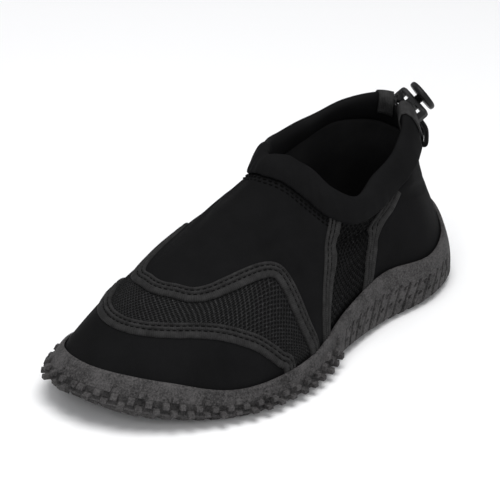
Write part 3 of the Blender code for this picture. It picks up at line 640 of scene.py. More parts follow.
# %% The tapes' lines
TAPE_WIDTH = 0.0075
TAPE_THICKNESS = 0.0009
GUSSET_FRONT = (
    (0.591, 1.02), (0.590, 0.95), (0.590, 0.82), (0.585, 0.65), (0.574, 0.46), (0.560, 0.25),
    (0.546, 0.055), (0.538, -0.08),
)
GUSSET_REAR = (
    (0.290, 1.00), (0.303, 0.94), (0.322, 0.86), (0.348, 0.82), (0.374, 0.74), (0.386, 0.61),
    (0.384, 0.46), (0.386, 0.30), (0.384, 0.10), (0.384, -0.08),
)
VAMP_EDGE = (
    (0.575, -0.10), (0.592, 0.06), (0.635, 0.27), (0.681, 0.44), (0.715, 0.53), (0.740, 0.575),
    (0.765, 0.59), (0.794, 0.58), (0.823, 0.55), (0.855, 0.505), (0.885, 0.465), (0.915, 0.45),
    (0.960, 0.465),
)
TOE_EDGE = (
    (0.645, -0.10), (0.659, 0.055), (0.674, 0.09), (0.700, 0.16), (0.738, 0.235), (0.779, 0.275),
    (0.818, 0.288), (0.858, 0.283), (0.904, 0.273), (0.955, 0.265),
)


def tape_line(rows, outer, steps=12):
    """Arc and share above the rim along a tape's middle."""
    ways, shares = np.array(rows).T
    arc = last.arc_of(ways, outer)
    scale = np.array([1.0, LAST_LENGTH / 3])
    return smooth_curve(np.stack([arc, shares], axis=1) * scale, False, steps) / scale


def over_the_toe(rows):
    outer_half = tape_line(rows, True)
    inner_half = tape_line(rows, False)
    return np.vstack([outer_half, inner_half[::-1]])


def v_of_share(arc, share):
    """The v of a height that is given as a share between the rim (0) and the collar (1)."""
    rim = last.rim_v(arc)
    return rim + (1 - rim) * share


vamp_line = over_the_toe(VAMP_EDGE)
toe_line = over_the_toe(TOE_EDGE)
front_lines = {side: tape_line(GUSSET_FRONT, side == "outer") for side in ("outer", "inner")}
rear_lines = {side: tape_line(GUSSET_REAR, side == "outer") for side in ("outer", "inner")}
print("points on the vamp tape's line:", len(vamp_line))

# %% [markdown]
# ## The relief of the upper
# Cloth over a last is never a perfect surface. The mesh panels lie a little lower than the neoprene, the
# tapes sit on top, and the side gives way in a few soft folds under the collar. All of it is one
# function of place that returns a height in metres, so the panels and the tapes can share it.


# %% Relief of the upper
def share_on_line(line, arc):
    """Columns 0 and 1 of a line are its arc and its share above the rim."""
    order = np.argsort(line[:, 0])
    return np.interp(arc, *line[order].T)


def arc_on_line(line, share):
    return share_on_line(line[:, ::-1], share)


def mesh_band_mask(arc, share):
    """1 on the mesh over the toes, 0 on the neoprene."""
    vamp_share = share_on_line(vamp_line, arc)
    below_vamp = 1 - soft_step(share, vamp_share - 0.02, vamp_share + 0.02)
    inside = soft_band(arc, vamp_line[:, 0].min(), vamp_line[:, 0].max(), 0.002)
    toe_arcs = toe_line[:, 0]
    on_toe_line = (arc > toe_arcs.min()) & (arc < toe_arcs.max())
    toe_share = np.where(on_toe_line, share_on_line(toe_line, arc), -1.0)
    above_toe = soft_step(share, toe_share - 0.02, toe_share + 0.02)
    return below_vamp * above_toe * inside


def gusset_mask(arc, share):
    mask = np.zeros(arc.shape)
    for side in ("outer", "inner"):
        rear = arc_on_line(rear_lines[side], share)
        front = arc_on_line(front_lines[side], share)
        between = soft_band(arc, np.minimum(rear, front), np.maximum(rear, front), MM)
        mask = np.maximum(mask, between)
    return mask


def trough(value, middle, half):
    """1 in the middle, 0 beyond half on both sides, smooth."""
    away = np.clip(np.abs(value - middle) / half, 0, 1)
    return (1 - away**2) ** 2


def gentle_waves(arc, share):
    """A low unevenness from a few crossing waves of hand-made cloth."""
    a = arc * 1000
    s = share * 60
    return (
        0.16 * np.sin(a / 9.0 + 0.7 * np.sin(s / 8.0))
        + 0.13 * np.sin(s / 6.5 + a / 23.0 + 1.3)
        + 0.10 * np.sin(a / 5.2 - s / 9.0 + 0.4)
    ) * MM


FOLDS = (
    # height share slope  at way half  from  to    edge
    (-1.3, 0.80, -0.10, 0.45, 0.10, 0.36, 0.60, 0.06),
    (0.7, 0.63, -0.10, 0.45, 0.14, 0.38, 0.60, 0.06),
    (-0.9, 0.62, 1.60, 0.13, 0.10, 0.08, 0.24, 0.04),
    (-0.8, 0.76, -0.90, 0.72, 0.07, 0.66, 0.86, 0.08),
    (-0.5, 0.92, -0.90, 0.72, 0.06, 0.70, 0.95, 0.08),
)


def side_folds(arc, share):
    """The folds that stay in the side, under the collar and at the flex line of the toes."""
    way, _ = last.way_of(arc)
    lift = np.zeros(arc.shape)
    for height, middle, slope, at_way, half, start, end, edge in FOLDS:
        fold = trough(share, middle + slope * (way - at_way), half)
        lift += height * MM * fold * soft_band(way, start, end, edge)
    crumple = np.sin(share * 88 + 1.6 * np.sin(arc * 420) + arc * 160)
    lift += 0.40 * MM * crumple * trough(share, 0.84, 0.13) * soft_band(way, 0.40, 0.56, 0.03)
    return lift


MESH_DEPTH = 0.0005
MESH_CLEARANCE = 0.0003
HOLE_DEPTH = 0.0003


def upper_relief(arc, share):
    fades = soft_step(share, 0.0, 0.12) * (1 - soft_step(share, 0.93, 1.0))
    return (gentle_waves(arc, share) + side_folds(arc, share)) * fades


sample = upper_relief(np.array([0.2]), np.array([0.8]))
print("relief at one spot, in millimetres:", (sample / MM).round(2))

# %% [markdown]
# ## The upper
# The upper is one hollow wall, 2.8 mm thick, open at the collar and underneath. It is drawn as a grid
# that goes up the outside, over the edge and down the inside. Where a mesh panel lies, the wall is
# lowered, so the panel's own surface is level with the neoprene beside it.


# %% Make the upper's wall
def share_of_v(arc, v):
    rim = last.rim_v(arc)
    return (v - rim) / (1 - rim)


HIDDEN_SHARE = 0.25
HIDDEN_ROWS = 7


def make_upper():
    """The first rows, with shares below 0, lie inside the rubber."""
    columns, outside_rows, inside_rows = 480, 96, 24
    arc_line = np.linspace(0, last.around, columns, endpoint=False)
    rim = last.rim_v(arc_line)
    hidden = np.linspace(-HIDDEN_SHARE, 0.0, HIDDEN_ROWS, endpoint=False)
    share_rows = np.concatenate([hidden, np.linspace(0, 1, outside_rows - HIDDEN_ROWS)])
    arc = np.broadcast_to(arc_line, (outside_rows, columns))
    share = np.broadcast_to(share_rows[:, None], arc.shape)
    v = np.where(share < 0, rim * (1 + share / HIDDEN_SHARE), rim + (1 - rim) * share)
    lowered = np.maximum(mesh_band_mask(arc, share), gusset_mask(arc, share))
    lift = upper_relief(arc, share) - (MESH_DEPTH + MESH_CLEARANCE) * lowered * (share > -0.1)
    outside = skin_grid(arc, v, lift)
    inside_share = np.linspace(1, 0, inside_rows)[:, None]
    inside_v = rim * inside_share + inside_share * (1 - rim)
    inside_arc = np.broadcast_to(arc_line, inside_v.shape)
    inside = skin_grid(inside_arc, inside_v, -WALL)
    inside[-1, :, 2] = outside[0, :, 2]
    grid = np.concatenate([outside, inside])
    made = piece_from_grid("upper_wall", grid, neoprene, ring=True, loop=True)
    made.data.materials.append(lining)
    rows_of_faces = np.repeat(np.arange(len(grid)), columns)
    made.data.polygons.foreach_set("material_index", (rows_of_faces >= outside_rows).astype(np.int32))
    return made


upper = make_upper()
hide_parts("upper")
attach(upper, "shoe")
print("upper:", triangles(upper), "triangles")

# %% [markdown]
# ## The mesh panels
# Three panels of open mesh are set into the neoprene: a wave over the toes, and one on each side. Each is
# a thin sheet of its own between two tapes, with its holes pressed into it as real hollows as well as
# in the finish, so the mesh still looks open from close by.


# %% Make the mesh panels
def hole_hollow(flat, pitch):
    """1 at the middle of each hole of the staggered rows, 0 on the threads."""
    cell = pitch / math.sqrt(2)
    turn = math.sqrt(0.5)
    x = (flat[..., 0] * turn - flat[..., 1] * turn) / cell
    y = (flat[..., 0] * turn + flat[..., 1] * turn) / cell
    away = np.hypot(x - np.floor(x) - 0.5, y - np.floor(y) - 0.5)
    return 1 - soft_step(away, 0.20, 0.46)


def make_mesh_panel(name, arc, share, pitch, cloth):
    v = v_of_share(arc.ravel(), share.ravel()).reshape(arc.shape)
    base = skin_grid(arc, v, 0.0)
    flat = flat_map(base)
    relief = upper_relief(arc, share) - MESH_DEPTH / 2
    top = skin_grid(arc, v, relief - HOLE_DEPTH * hole_hollow(flat, pitch))
    made = piece_from_grid(name, top, cloth, flat)
    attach(made, "shoe")
    print(name, triangles(made), "triangles")


def resample(line, count):
    points = last.skin(line[:, 0], v_of_share(line[:, 0], line[:, 1]))
    lengths = lengths_along(points)
    return read_rows(np.linspace(0, lengths[-1], count), lengths, line)


band_low = resample(toe_line, 420)
band_high = resample(vamp_line, 420)
part = np.linspace(0, 1, 70)[:, None, None]
band = band_low[None] * (1 - part) + band_high[None] * part
make_mesh_panel("toe_mesh", band[..., 0], band[..., 1], TOE_MESH_PITCH, toe_cloth)
for side in ("outer", "inner"):
    share_rows = np.linspace(-0.06, 1.0, 90)
    rear = arc_on_line(rear_lines[side], share_rows)[:, None]
    front = arc_on_line(front_lines[side], share_rows)[:, None]
    part = np.linspace(0, 1, 100)[None, :]
    arc = rear * (1 - part) + front * part
    share = np.broadcast_to(share_rows[:, None], arc.shape)
    make_mesh_panel(f"side_mesh_{side}", arc, share, SIDE_MESH_PITCH, side_cloth)

# %% [markdown]
# ## The tapes and their stitches
# A binding tape is woven, about 7.5 mm wide, and sewn down with two rows of stitches. Its section is a
# low arch that dips where the thread pulls it down. The stitches are separate small loops of thread that
# follow the tape, so they catch the light one by one.


# %% Make the tapes
TAPE_RISE = 0.0012
STITCH_ROWS = (-0.0020, 0.0002)
STITCH_PITCH = 0.0027
STITCH_DIP = 0.00085
STITCH_HALF = 0.0009
TAPE_SINK = 0.0006
TAPE_STEP = 0.0009
THREAD_RADIUS = 0.0003
THREAD_LIFT = 0.00005
STITCH_RINGS = (
    # place size lift
    (0.00, 0.45, -1.20), (0.18, 0.95, 0.10), (0.50, 1.00, 0.35), (0.82, 0.95, 0.10), (1.00, 0.45, -1.20),
)


def step_aside(arc, v, aside, lift):
    """Steps off the points of a line by a length across it, staying on the skin, then lifts."""
    along = unit(np.gradient(last.skin(arc, v), axis=0))
    move = unit(np.cross(last.normal(arc, v), along)) * aside
    reach = last.around / 1000
    dv = 0.01
    round_it = (last.skin(arc + reach, v) - last.skin(arc - reach, v)) / (2 * reach)
    up_it = (last.skin(arc, v + dv) - last.skin(arc, v - dv)) / (2 * dv)
    a = (round_it * round_it).sum(1)
    b = (round_it * up_it).sum(1)
    c = (up_it * up_it).sum(1)
    right = (round_it * move).sum(1)
    top = (up_it * move).sum(1)
    scale = a * c - b * b
    new_arc = arc + (c * right - b * top) / scale
    new_v = v + (a * top - b * right) / scale
    share = share_of_v(new_arc, new_v)
    return last.lifted(new_arc, new_v, upper_relief(new_arc, share) + lift)


def tape_height(aside):
    """The tape's thickness across its width: a low arch that dips at the two rows of stitches."""
    edge = np.clip(1 - np.abs(aside) / (TAPE_WIDTH / 2), 0, 1)
    arch = TAPE_RISE * (0.35 + 0.65 * np.sqrt(np.clip(edge * 3.2, 0, 1)))
    return arch - STITCH_DIP * sum(trough(aside, row, STITCH_HALF) for row in STITCH_ROWS)


def make_tape(name, line):
    length = lengths_along(last.skin(line[:, 0], v_of_share(line[:, 0], line[:, 1])))[-1]
    middle = resample(line, int(length / TAPE_STEP))
    arc = middle[:, 0]
    v = v_of_share(arc, middle[:, 1])
    half = TAPE_WIDTH / 2
    asides = np.linspace(-half, half, 25)
    rows = [step_aside(arc, v, -half, -TAPE_SINK)]
    rows += [step_aside(arc, v, aside, tape_height(aside)) for aside in asides]
    rows += [step_aside(arc, v, half, -TAPE_SINK)]
    return piece_from_grid(name, np.stack(rows), woven_tape), arc, v, length


def thread_loops(name, runs, finish, radius=THREAD_RADIUS, sides=6):
    """Short arched loops of thread from one list of start and end points with the skin's normal."""
    points, faces = [], []
    turn = np.linspace(0, 2 * np.pi, sides, endpoint=False)
    for start, end, normal in runs:
        across = np.cross(normal, unit(end - start))
        first = len(points)
        for at, size, lift in STITCH_RINGS:
            centre = start + (end - start) * at + normal * lift * radius
            for angle in turn:
                spoke = across * math.cos(angle) + normal * math.sin(angle)
                points.append(centre + spoke * radius * size)
        for ring in range(len(STITCH_RINGS) - 1):
            for i in range(sides):
                j = (i + 1) % sides
                a = first + ring * sides
                faces.append((a + i, a + j, a + sides + j, a + sides + i))
        faces.append(tuple(range(first, first + sides))[::-1])
        end_ring = first + (len(STITCH_RINGS) - 1) * sides
        faces.append(tuple(range(end_ring, end_ring + sides)))
    mesh = bpy.data.meshes.new(name)
    mesh.from_pydata((np.array(points) + PLACE).tolist(), [], faces)
    mesh.uv_layers.new(name="flat")
    made = link_piece(name, mesh, finish)
    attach(made, "shoe")


def stitches_along(arc, v, aside, lift, length, pitch=STITCH_PITCH, filled=0.78):
    """Start, end and normal of each stitch of one row."""
    count = max(int(length / pitch), 2)
    row = step_aside(arc, v, aside, lift)
    normals = last.normal(arc, v)
    lengths = lengths_along(row)
    starts = (np.arange(count) + 0.1) * lengths[-1] / count
    ends = starts + filled * lengths[-1] / count
    facing = read_rows((starts + ends) / 2, lengths, normals)
    return list(zip(read_rows(starts, lengths, row), read_rows(ends, lengths, row), facing))


tape_runs = []
tape_lines = {"toe_tape": toe_line, "vamp_tape": vamp_line}
for side in ("outer", "inner"):
    tape_lines[f"gusset_front_tape_{side}"] = front_lines[side]
    tape_lines[f"gusset_rear_tape_{side}"] = rear_lines[side]
for node, line in tape_lines.items():
    tape, arc, v, length = make_tape(f"{node}_woven", line)
    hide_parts(node)
    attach(tape, "shoe")
    for aside in STITCH_ROWS:
        tape_runs += stitches_along(arc, v, aside, tape_height(aside) + THREAD_LIFT, length)
    print(node, "is", round(length, 3), "long,", triangles(tape), "triangles")
# The tape's stitches take the thread finish with painted shade.
thread_loops("tape_stitches", tape_runs, dark_thread_with_painted_shade)
print("stitches on the tapes:", len(tape_runs))

# %% [markdown]
# ## The collar
# The collar is a strip of neoprene folded over an elastic cord and sewn to the opening. It is thick and
# round at the top and hangs a little over its seam. A closed section is carried round the opening. Behind
# the heel it dips in a short notch, where the cord comes out.

# %% The collar's section and frame
COLLAR_SECTION = (
    # out of COLLAR_THICKNESS, up of the collar's height
    (0.20, 0.00), (0.30, 0.30), (0.26, 0.72), (0.04, 0.96),
    (-0.34, 1.00), (-0.62, 0.78), (-0.70, 0.35), (-0.60, 0.00),
)
NOTCH_DEPTH = 0.0065
NOTCH_HALF = 0.0115
NOTCH_SLOPE = 0.0016
GUIDE_LENGTH = 0.0150
TAPE_GAP = 0.0004


def collar_frame(arc):
    reach = last.around / 400
    seam, *_, collar, lean = last.upper_at(arc)
    along = last.upper_at(arc + reach)[0] - last.upper_at(arc - reach)[0]
    along[:, 2] = 0
    outward = quarter_turn(unit(along))
    upward = unit(UP - outward * lean[:, None])
    aside = np.minimum(np.mod(arc, last.around), last.around - np.mod(arc, last.around))
    notch = 1 - soft_step(aside, NOTCH_HALF, NOTCH_HALF + NOTCH_SLOPE)
    return seam, outward, upward, collar * COLLAR_HEIGHT - notch * NOTCH_DEPTH


def collar_rows(arc, section, swell):
    """Rows of points round the opening. swell is an array of heights, one row for each section point."""
    seam, outward, upward, height = collar_frame(arc)
    middle_out = -0.2 * COLLAR_THICKNESS
    rows = []
    foot = seam + np.array([0, 0, GAP])
    for (out, up), puff in zip(section, swell):
        across = np.full(len(arc), out * COLLAR_THICKNESS)
        tall = up * height
        away = unit(np.stack([across - middle_out, (tall - height / 2) * COLLAR_THICKNESS / height], axis=1))
        across = across + away[:, 0] * puff
        tall = tall + away[:, 1] * puff
        rows.append(foot + outward * across[:, None] + upward * tall[:, None])
    return np.stack(rows)


def make_collar():
    columns = 560
    section = smooth_curve(COLLAR_SECTION, True, 5)
    arc = np.linspace(0, last.around, columns, endpoint=False)
    way, _ = last.way_of(arc)
    out_side = np.clip(section[:, 0] / 0.3, 0, 1)[:, None]
    top_side = np.clip(section[:, 1] * 1.5 - 0.5, 0, 1)[:, None]
    millimetres = arc * 1000
    pucker = 0.16 * np.sin(millimetres / 2.6 + 1.4 * np.sin(millimetres / 17.0))
    slow = 0.35 * np.sin(millimetres / 14.0 + 0.9) + 0.22 * np.sin(millimetres / 7.3)
    calm = 1 - trough(way, 0.0, 0.10)
    swell = (pucker * out_side * (1 - top_side) + slow * (0.4 + 0.6 * top_side)) * calm * MM
    grid = collar_rows(arc, section, swell)
    return piece_from_grid("collar_fold", grid, collar_neoprene, ring=True, loop=True)


collar = make_collar()
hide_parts("collar")
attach(collar, "shoe")
print("collar:", triangles(collar), "triangles")

# %% [markdown]
# Under the collar, a double row of stitches holds its folded edge to the instep. It runs round the
# front half only, where the collar is sewn flat. The upper row is the bolder one.

# %% The double row under the collar
seam_ways = np.linspace(0.57, 1.0, 160)
seam_arc = np.concatenate([last.arc_of(seam_ways, True), last.arc_of(seam_ways, False)[::-1][1:]])
stitch_rows = {"high": (0.0024, 0.00056, 0.70), "low": (0.0043, 0.00038, 0.74)}
column = last.skin(seam_arc, 1.0) - last.skin(seam_arc, 0.9)
for row_name, (drop, radius, filled) in stitch_rows.items():
    v = 1 - drop / (np.linalg.norm(column, axis=1) / 0.1)
    length = lengths_along(last.skin(seam_arc, v))[-1]
    runs = stitches_along(seam_arc, v, 0.0, 0.0001, length, pitch=0.0028, filled=filled)
    thread_loops(f"collar_stitches_{row_name}", runs, black_thread, radius)
    print(row_name, "row under the collar:", len(runs), "stitches")

# %% [markdown]
# ## The cord guides
# On each side of the notch, a short tab of woven tape is folded over the collar. It keeps the elastic
# from cutting into the neoprene. Each is a saddle that lies a hair off the collar.


# %% Make the guides
def make_guide(side):
    start = NOTCH_HALF + NOTCH_SLOPE
    columns = 16
    arc = np.linspace(start, start + GUIDE_LENGTH, columns)
    if side == "inner":
        arc = last.around - arc
    saddle = smooth_curve(COLLAR_SECTION[1:-1], False, 5)
    low = collar_rows(arc, saddle, np.full((len(saddle), columns), TAPE_GAP))
    high = collar_rows(arc, saddle, np.full((len(saddle), columns), TAPE_GAP + TAPE_THICKNESS))
    grid = np.concatenate([low, high[::-1]])
    made = piece_from_grid(f"cord_guide_{side}_woven", grid, guide_tape, loop=True, capped=True)
    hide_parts(f"cord_guide_{side}")
    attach(made, "shoe")
    print(made.name, triangles(made), "triangles")


for side in ("outer", "inner"):
    make_guide(side)

# %% [markdown]
# ## The rubber cup
# The outsole is one moulding: a cup round the foot, with a smooth band at the top. Below the band stand
# square studs round the forefoot, and slanted slots and dimples are cut in round the heel. The cup is
# drawn as columns that share the pattern's pitch, so each stud and slot has its own edge in the mesh.
# Underneath, the same columns run across as rows of lugs.

# %% The cup's sizes
RIM_THICKNESS = 0.0022
FOOT_THICKNESS = 0.0032
LUG_HEIGHT = 0.0025
STUD_HEIGHT = 0.0020
SLOT_DEPTH = 0.0023
DIMPLE_DEPTH = 0.0018
SLOT_LEAN = 0.46
TREAD_CORNER = 0.0012
PITCHES_PER_SIDE = 40
STUDDED_FROM = 0.50
SLOTTED_FROM, SLOTTED_TO = 0.05, 0.47
PHASES = np.array(
    [0.00, 0.04, 0.09, 0.155, 0.22, 0.285, 0.36, 0.41, 0.45, 0.50, 0.54, 0.59, 0.68, 0.77, 0.85, 0.90, 0.95]
)
RIM_ROUND = ((0.0012, 0.0), (0.0004, 0.08), (0.0, 0.3), (0.0, 0.7), (0.0004, 0.92), (0.0012, 1.0))
SMOOTH_SHARES = (0.10, 0.17, 0.24)
WALL_SHARES = (0.30, 0.54, 0.78, 1.0)
HEIGHT_PHASES = np.array([0.0, 0.07, 0.14, 0.25, 0.36, 0.47, 0.58, 0.70, 0.82, 0.90])
ROW_PROUD = (0.8, 1.0, 1.5)
STUD_UNEVEN = np.random.default_rng(7).uniform(0.75, 1.25, (3, PITCHES_PER_SIDE + 1))
SLOT_TOP = (0.40, 0.46)
DIMPLES = ((0.22, 0.52), (0.45, 0.76))
DIMPLE_SIZE = (0.15, 0.052)


def slot_shift(arc, height, middle):
    way, outer = last.way_of(arc)
    amount = soft_step(way, 0.01, 0.11) * (1 - soft_step(way, 0.41, 0.51))
    back = np.where(outer, -1.0, 1.0)
    return arc + back * amount * SLOT_LEAN * (height - middle)


def flat_topped(phase, start, end, edge):
    return soft_step(phase, start, start + edge) * (1 - soft_step(phase, end - edge, end))


def wall_relief(pitch, phase, row, height_phase, way):
    """Studs stand proud on the forefoot. Slots and dimples are cut in round the heel."""
    shifted = np.mod(phase + 0.5 * (row % 2), 1.0)
    stud = flat_topped(shifted, 0.04, 0.50, 0.05) * flat_topped(height_phase, 0.07, 0.90, 0.07)
    stud = stud * ROW_PROUD[row] * STUD_UNEVEN[row][pitch]
    if row == 0:
        stud = stud * (pitch % 2 == 0)
    lift = STUD_HEIGHT * stud * (way > STUDDED_FROM)
    share = WALL_SHARES[row] + (WALL_SHARES[row + 1] - WALL_SHARES[row]) * height_phase
    heel = (way > SLOTTED_FROM) & (way < SLOTTED_TO)
    slot = flat_topped(phase, 0.71, 1.0, 0.08)
    lift = lift - SLOT_DEPTH * slot * soft_step(share, *SLOT_TOP) * heel
    for along, up in DIMPLES:
        away = np.hypot((phase - along) / DIMPLE_SIZE[0], (share - up) / DIMPLE_SIZE[1])
        lift = lift - DIMPLE_DEPTH * (1 - soft_step(away, 0.6, 1.0)) * heel
    return lift


print("pitch:", round(last.around / PITCHES_PER_SIDE / 2 / MM, 2), "mm")


# %% Make the cup
def cup_columns():
    """Arcs of the columns, with the number of the pitch and the place in it."""
    pitch = np.repeat(np.arange(PITCHES_PER_SIDE), len(PHASES))
    phase = np.tile(PHASES, PITCHES_PER_SIDE)
    ways = (pitch + phase) / PITCHES_PER_SIDE
    # the inner side runs back from the toe to the heel
    back = np.concatenate([[1.0], ways[:0:-1]])
    arc = np.concatenate([last.arc_of(ways), last.arc_of(back, outer=False)])
    pitch = np.concatenate([pitch, [PITCHES_PER_SIDE], pitch[:0:-1]])
    return arc, pitch, np.concatenate([phase, [0.0], phase[:0:-1]])


def make_cup():
    arc, pitch, phase = cup_columns()
    way, _ = last.way_of(arc)
    tread, floor, rim = last.sole_at(arc)
    base = tread + LUG_HEIGHT
    rim_v = last.rim_v(arc)
    floor_edge = last.lifted(arc, 0.0, GAP)
    floor_edge[:, 2] = floor - GAP
    rows = [floor_edge, last.lifted(arc, rim_v / 2, GAP)]
    for drop, lift in RIM_ROUND:
        v = last.v_at_height(arc, np.maximum(rim - drop, floor))
        row = last.lifted(arc, v, GAP + RIM_THICKNESS * lift)
        row[:, 2] = rim - drop
        rows.append(row)
    middle = (rim + base) / 2

    def wall_row(share, relief):
        height = rim + (base + TREAD_CORNER - rim) * share
        leaned = slot_shift(arc, height, middle)
        _, floor_here, _ = last.sole_at(leaned)
        v = last.v_at_height(leaned, np.maximum(height, floor_here))
        thickness = GAP + RIM_THICKNESS + (FOOT_THICKNESS - RIM_THICKNESS) * share
        row = last.lifted(leaned, v, thickness + relief)
        row[:, 2] = height
        return row

    for share in SMOOTH_SHARES:
        rows.append(wall_row(share, 0.0))
    # Each wall face gets a painted shade level: 0 none, 1 painted shade between the forefoot studs, 2
    # painted shade in the slots and dimples.
    shades = [np.zeros(len(arc), dtype=int)] * len(rows)
    for row, (start, end) in enumerate(zip(WALL_SHARES, WALL_SHARES[1:])):
        for height_phase in HEIGHT_PHASES:
            relief = wall_relief(pitch, phase, row, height_phase, way)
            rows.append(wall_row(start + (end - start) * height_phase, relief))
            # Painted shade level 1 falls on the low faces between the studs of the two lower rows.
            between_studs = (way > STUDDED_FROM) & (relief < 0.1 * MM) & (row > 0)
            shades.append(np.where(relief < -0.9 * MM, 2, between_studs.astype(int)))
    rows.append(wall_row(1.0, wall_relief(pitch, phase, 2, 1.0, way)))
    last_row = rows[-1]
    inward = last.edge_normal(arc)
    for inset, drop in ((0.2, 0.45), (0.5, 0.8), (1.0, 1.0)):
        row = last_row - inward * TREAD_CORNER * inset
        row[:, 2] = last_row[:, 2] - TREAD_CORNER * drop
        rows.append(row)
    return arc, phase, np.stack(rows), np.stack(shades)


cup_arc, cup_phase, cup_rows, cup_painted_shade_levels = make_cup()
print("rows and columns of the cup:", cup_rows.shape[:2])

# %% [markdown]
# The floor of the cup and the tread close the moulding. Straight rungs run from the outer edge to the
# inner edge. On the tread each rung has many points, and blocks of them are pushed down to make lugs,
# staggered like bricks.


# %% Close the cup with its floor and tread
LUGS_ACROSS = 4
RUNG_POINTS = 36


def close_across(bm, edge, across, height=None):
    """Rungs between the two sides of a ring of vertices. height gives each point's drop."""
    count = len(edge)
    toe = count // 2
    ladders = []
    for i in range(1, toe):
        start, end = edge[i], edge[count - i]
        inside = []
        for step in range(1, across):
            spot = start.co.lerp(end.co, step / across)
            if height is not None:
                spot.z -= height(i, step / across)
            inside.append(bm.verts.new(spot))
        ladders.append([start, *inside, end])
    for one, two in zip(ladders, ladders[1:]):
        for j in range(across):
            bm.faces.new((one[j], one[j + 1], two[j + 1], two[j]))
    for tip, ladder in ((edge[0], ladders[0]), (edge[toe], ladders[-1])):
        for j in range(across):
            bm.faces.new((tip, ladder[j], ladder[j + 1]))


def lug_drop(i, share):
    """How far the tread stands down at one column and one share of the way across."""
    place = share * LUGS_ACROSS
    row = int(place)
    if not 2 * len(PHASES) <= i <= len(cup_arc) // 2 - 2 * len(PHASES):
        return 0.0
    phase = (cup_phase[i] + 0.5 * (row % 2)) % 1.0
    along = float(flat_topped(phase, 0.04, 0.77, 0.09))
    sideways = float(flat_topped(place - row, 0.03, 0.97, 0.09))
    return LUG_HEIGHT * along * sideways


def finish_cup():
    bm = bmesh.new()
    rings = [[bm.verts.new(point + PLACE) for point in row] for row in cup_rows]
    count = len(rings[0])
    for row, (low, high) in enumerate(zip(rings, rings[1:])):
        for i in range(count):
            j = (i + 1) % count
            face = bm.faces.new((low[i], low[j], high[j], high[i]))
            # Each face takes the painted shade level that at least three of its four corners reach.
            if row + 1 < len(cup_painted_shade_levels):
                corners = sorted(int(cup_painted_shade_levels[r, c]) for r in (row, row + 1) for c in (i, j))
                face.material_index = corners[1]
    close_across(bm, rings[0], 2)
    close_across(bm, rings[-1], RUNG_POINTS, lug_drop)
    mesh = bpy.data.meshes.new("rubber_cup")
    bm.to_mesh(mesh)
    bm.free()
    made = link_piece("rubber_cup", mesh, rubber)
    made.data.set_sharp_from_angle(angle=math.radians(40))
    return made


cup = finish_cup()
# Slots 1 and 2 hold the painted shade copies of the rubber: between the studs, and in the hollows.
for finish in (stud_gap_painted_shade_rubber, hollow_painted_shade_rubber):
    cup.data.materials.append(finish)
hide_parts("outsole")
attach(cup, "shoe")
print("cup:", triangles(cup), "triangles")

# %% [markdown]
# ## The insole
# A thin bed of foam lies on the cup's floor. Little of it shows, deep inside the dark mouth. Its top is
# slightly dished, and its edge rises to meet the wall.


# %% Make the insole
INSOLE_THICKNESS = 0.004
INSOLE_DISH = 0.0006
INSOLE_V = 0.06


def make_insole():
    columns, across = 120, 24
    ways = np.linspace(0.004, 0.996, columns)
    outer = last.arc_of(ways, True)
    inner = last.arc_of(ways, False)
    inset = -WALL - 2 * GAP
    one = last.lifted(outer, INSOLE_V, inset)
    two = last.lifted(inner, INSOLE_V, inset)
    floor = last.sole_at(outer)[1]
    part = np.linspace(0, 1, across)[:, None, None]
    top = one[None] * (1 - part) + two[None] * part
    dish = INSOLE_DISH * np.sin(np.pi * part[..., 0])
    top[..., 2] = floor[None, :] + INSOLE_THICKNESS - dish
    under = top.copy()
    under[..., 2] = floor[None, :] + GAP
    grid = np.concatenate([top, under[::-1]])
    return piece_from_grid("foam_bed", grid, foam, loop=True, capped=True)


insole = make_insole()
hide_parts("insole")
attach(insole, "shoe")
print("insole:", triangles(insole), "triangles")

# %% [markdown]
# ## The cord and its lock
# The elastic comes out on both sides of the notch, runs through the two windows of the cord lock and
# hangs below it in one short loop. Pressing the button frees the cord. The lock's place and turn are the
# same as in the solid model, because the button has to stay in line with the bore that it moves in.

# %% Where the lock hangs
CORD_DIAMETER = 0.0024
CORD_POINTS = 160
LOCK_HEIGHT = 0.0098
LOCK_DEPTH = 0.0062
BUTTON_DIAMETER = 0.0160
BUTTON_THICKNESS = 0.0032
PLUNGER_DIAMETER = 0.0044
PRESS_TRAVEL = 0.0016
AXIS_RADIUS = 0.0001
WINDOW_WIDTH = 0.0052
WINDOW_DROP = 0.0004
BARREL_WIDTH = 0.0046
BORE_DEPTH = 0.0026
LOCK_CENTRE = Vector((-0.1143, -0.0049, 0.0779))
LOCK_TURN = math.radians(128)
LOCK_LEAN = math.radians(-25)
LOCK_TILT = math.radians(48)
LOCK_SPIN = math.radians(-30)
CORD_LEAD_IN = ((-0.1006, 0.0018, 0.0846), (-0.1034, 0.0016, 0.0848))
CORD_LOOP = (
    (-0.1180, 0.0004, 0.0702),
    (-0.1202, 0.0016, 0.0660),
    (-0.1208, 0.0019, 0.0605),
    (-0.1208, 0.0018, 0.0587),
    (-0.1208, 0.0014, 0.0577),
    (-0.1208, 0.0004, 0.0572),
    (-0.1208, -0.0006, 0.0577),
    (-0.1208, -0.0010, 0.0587),
    (-0.1208, -0.0011, 0.0605),
    (-0.1206, -0.0016, 0.0665),
    (-0.1192, -0.0062, 0.0732),
)
CORD_LEAD_OUT = ((-0.1068, -0.0056, 0.0870), (-0.1036, -0.0026, 0.0866), (-0.1006, -0.0018, 0.0856))

lock_place = (
    Matrix.Translation(LOCK_CENTRE)
    @ Matrix.Rotation(LOCK_TURN, 4, "Z")
    @ Matrix.Rotation(LOCK_LEAN, 4, "X")
    @ Matrix.Rotation(LOCK_TILT, 4, "Y")
    @ Matrix.Rotation(LOCK_SPIN, 4, "Z")
)
print("the lock's middle:", [round(value, 4) for value in LOCK_CENTRE])


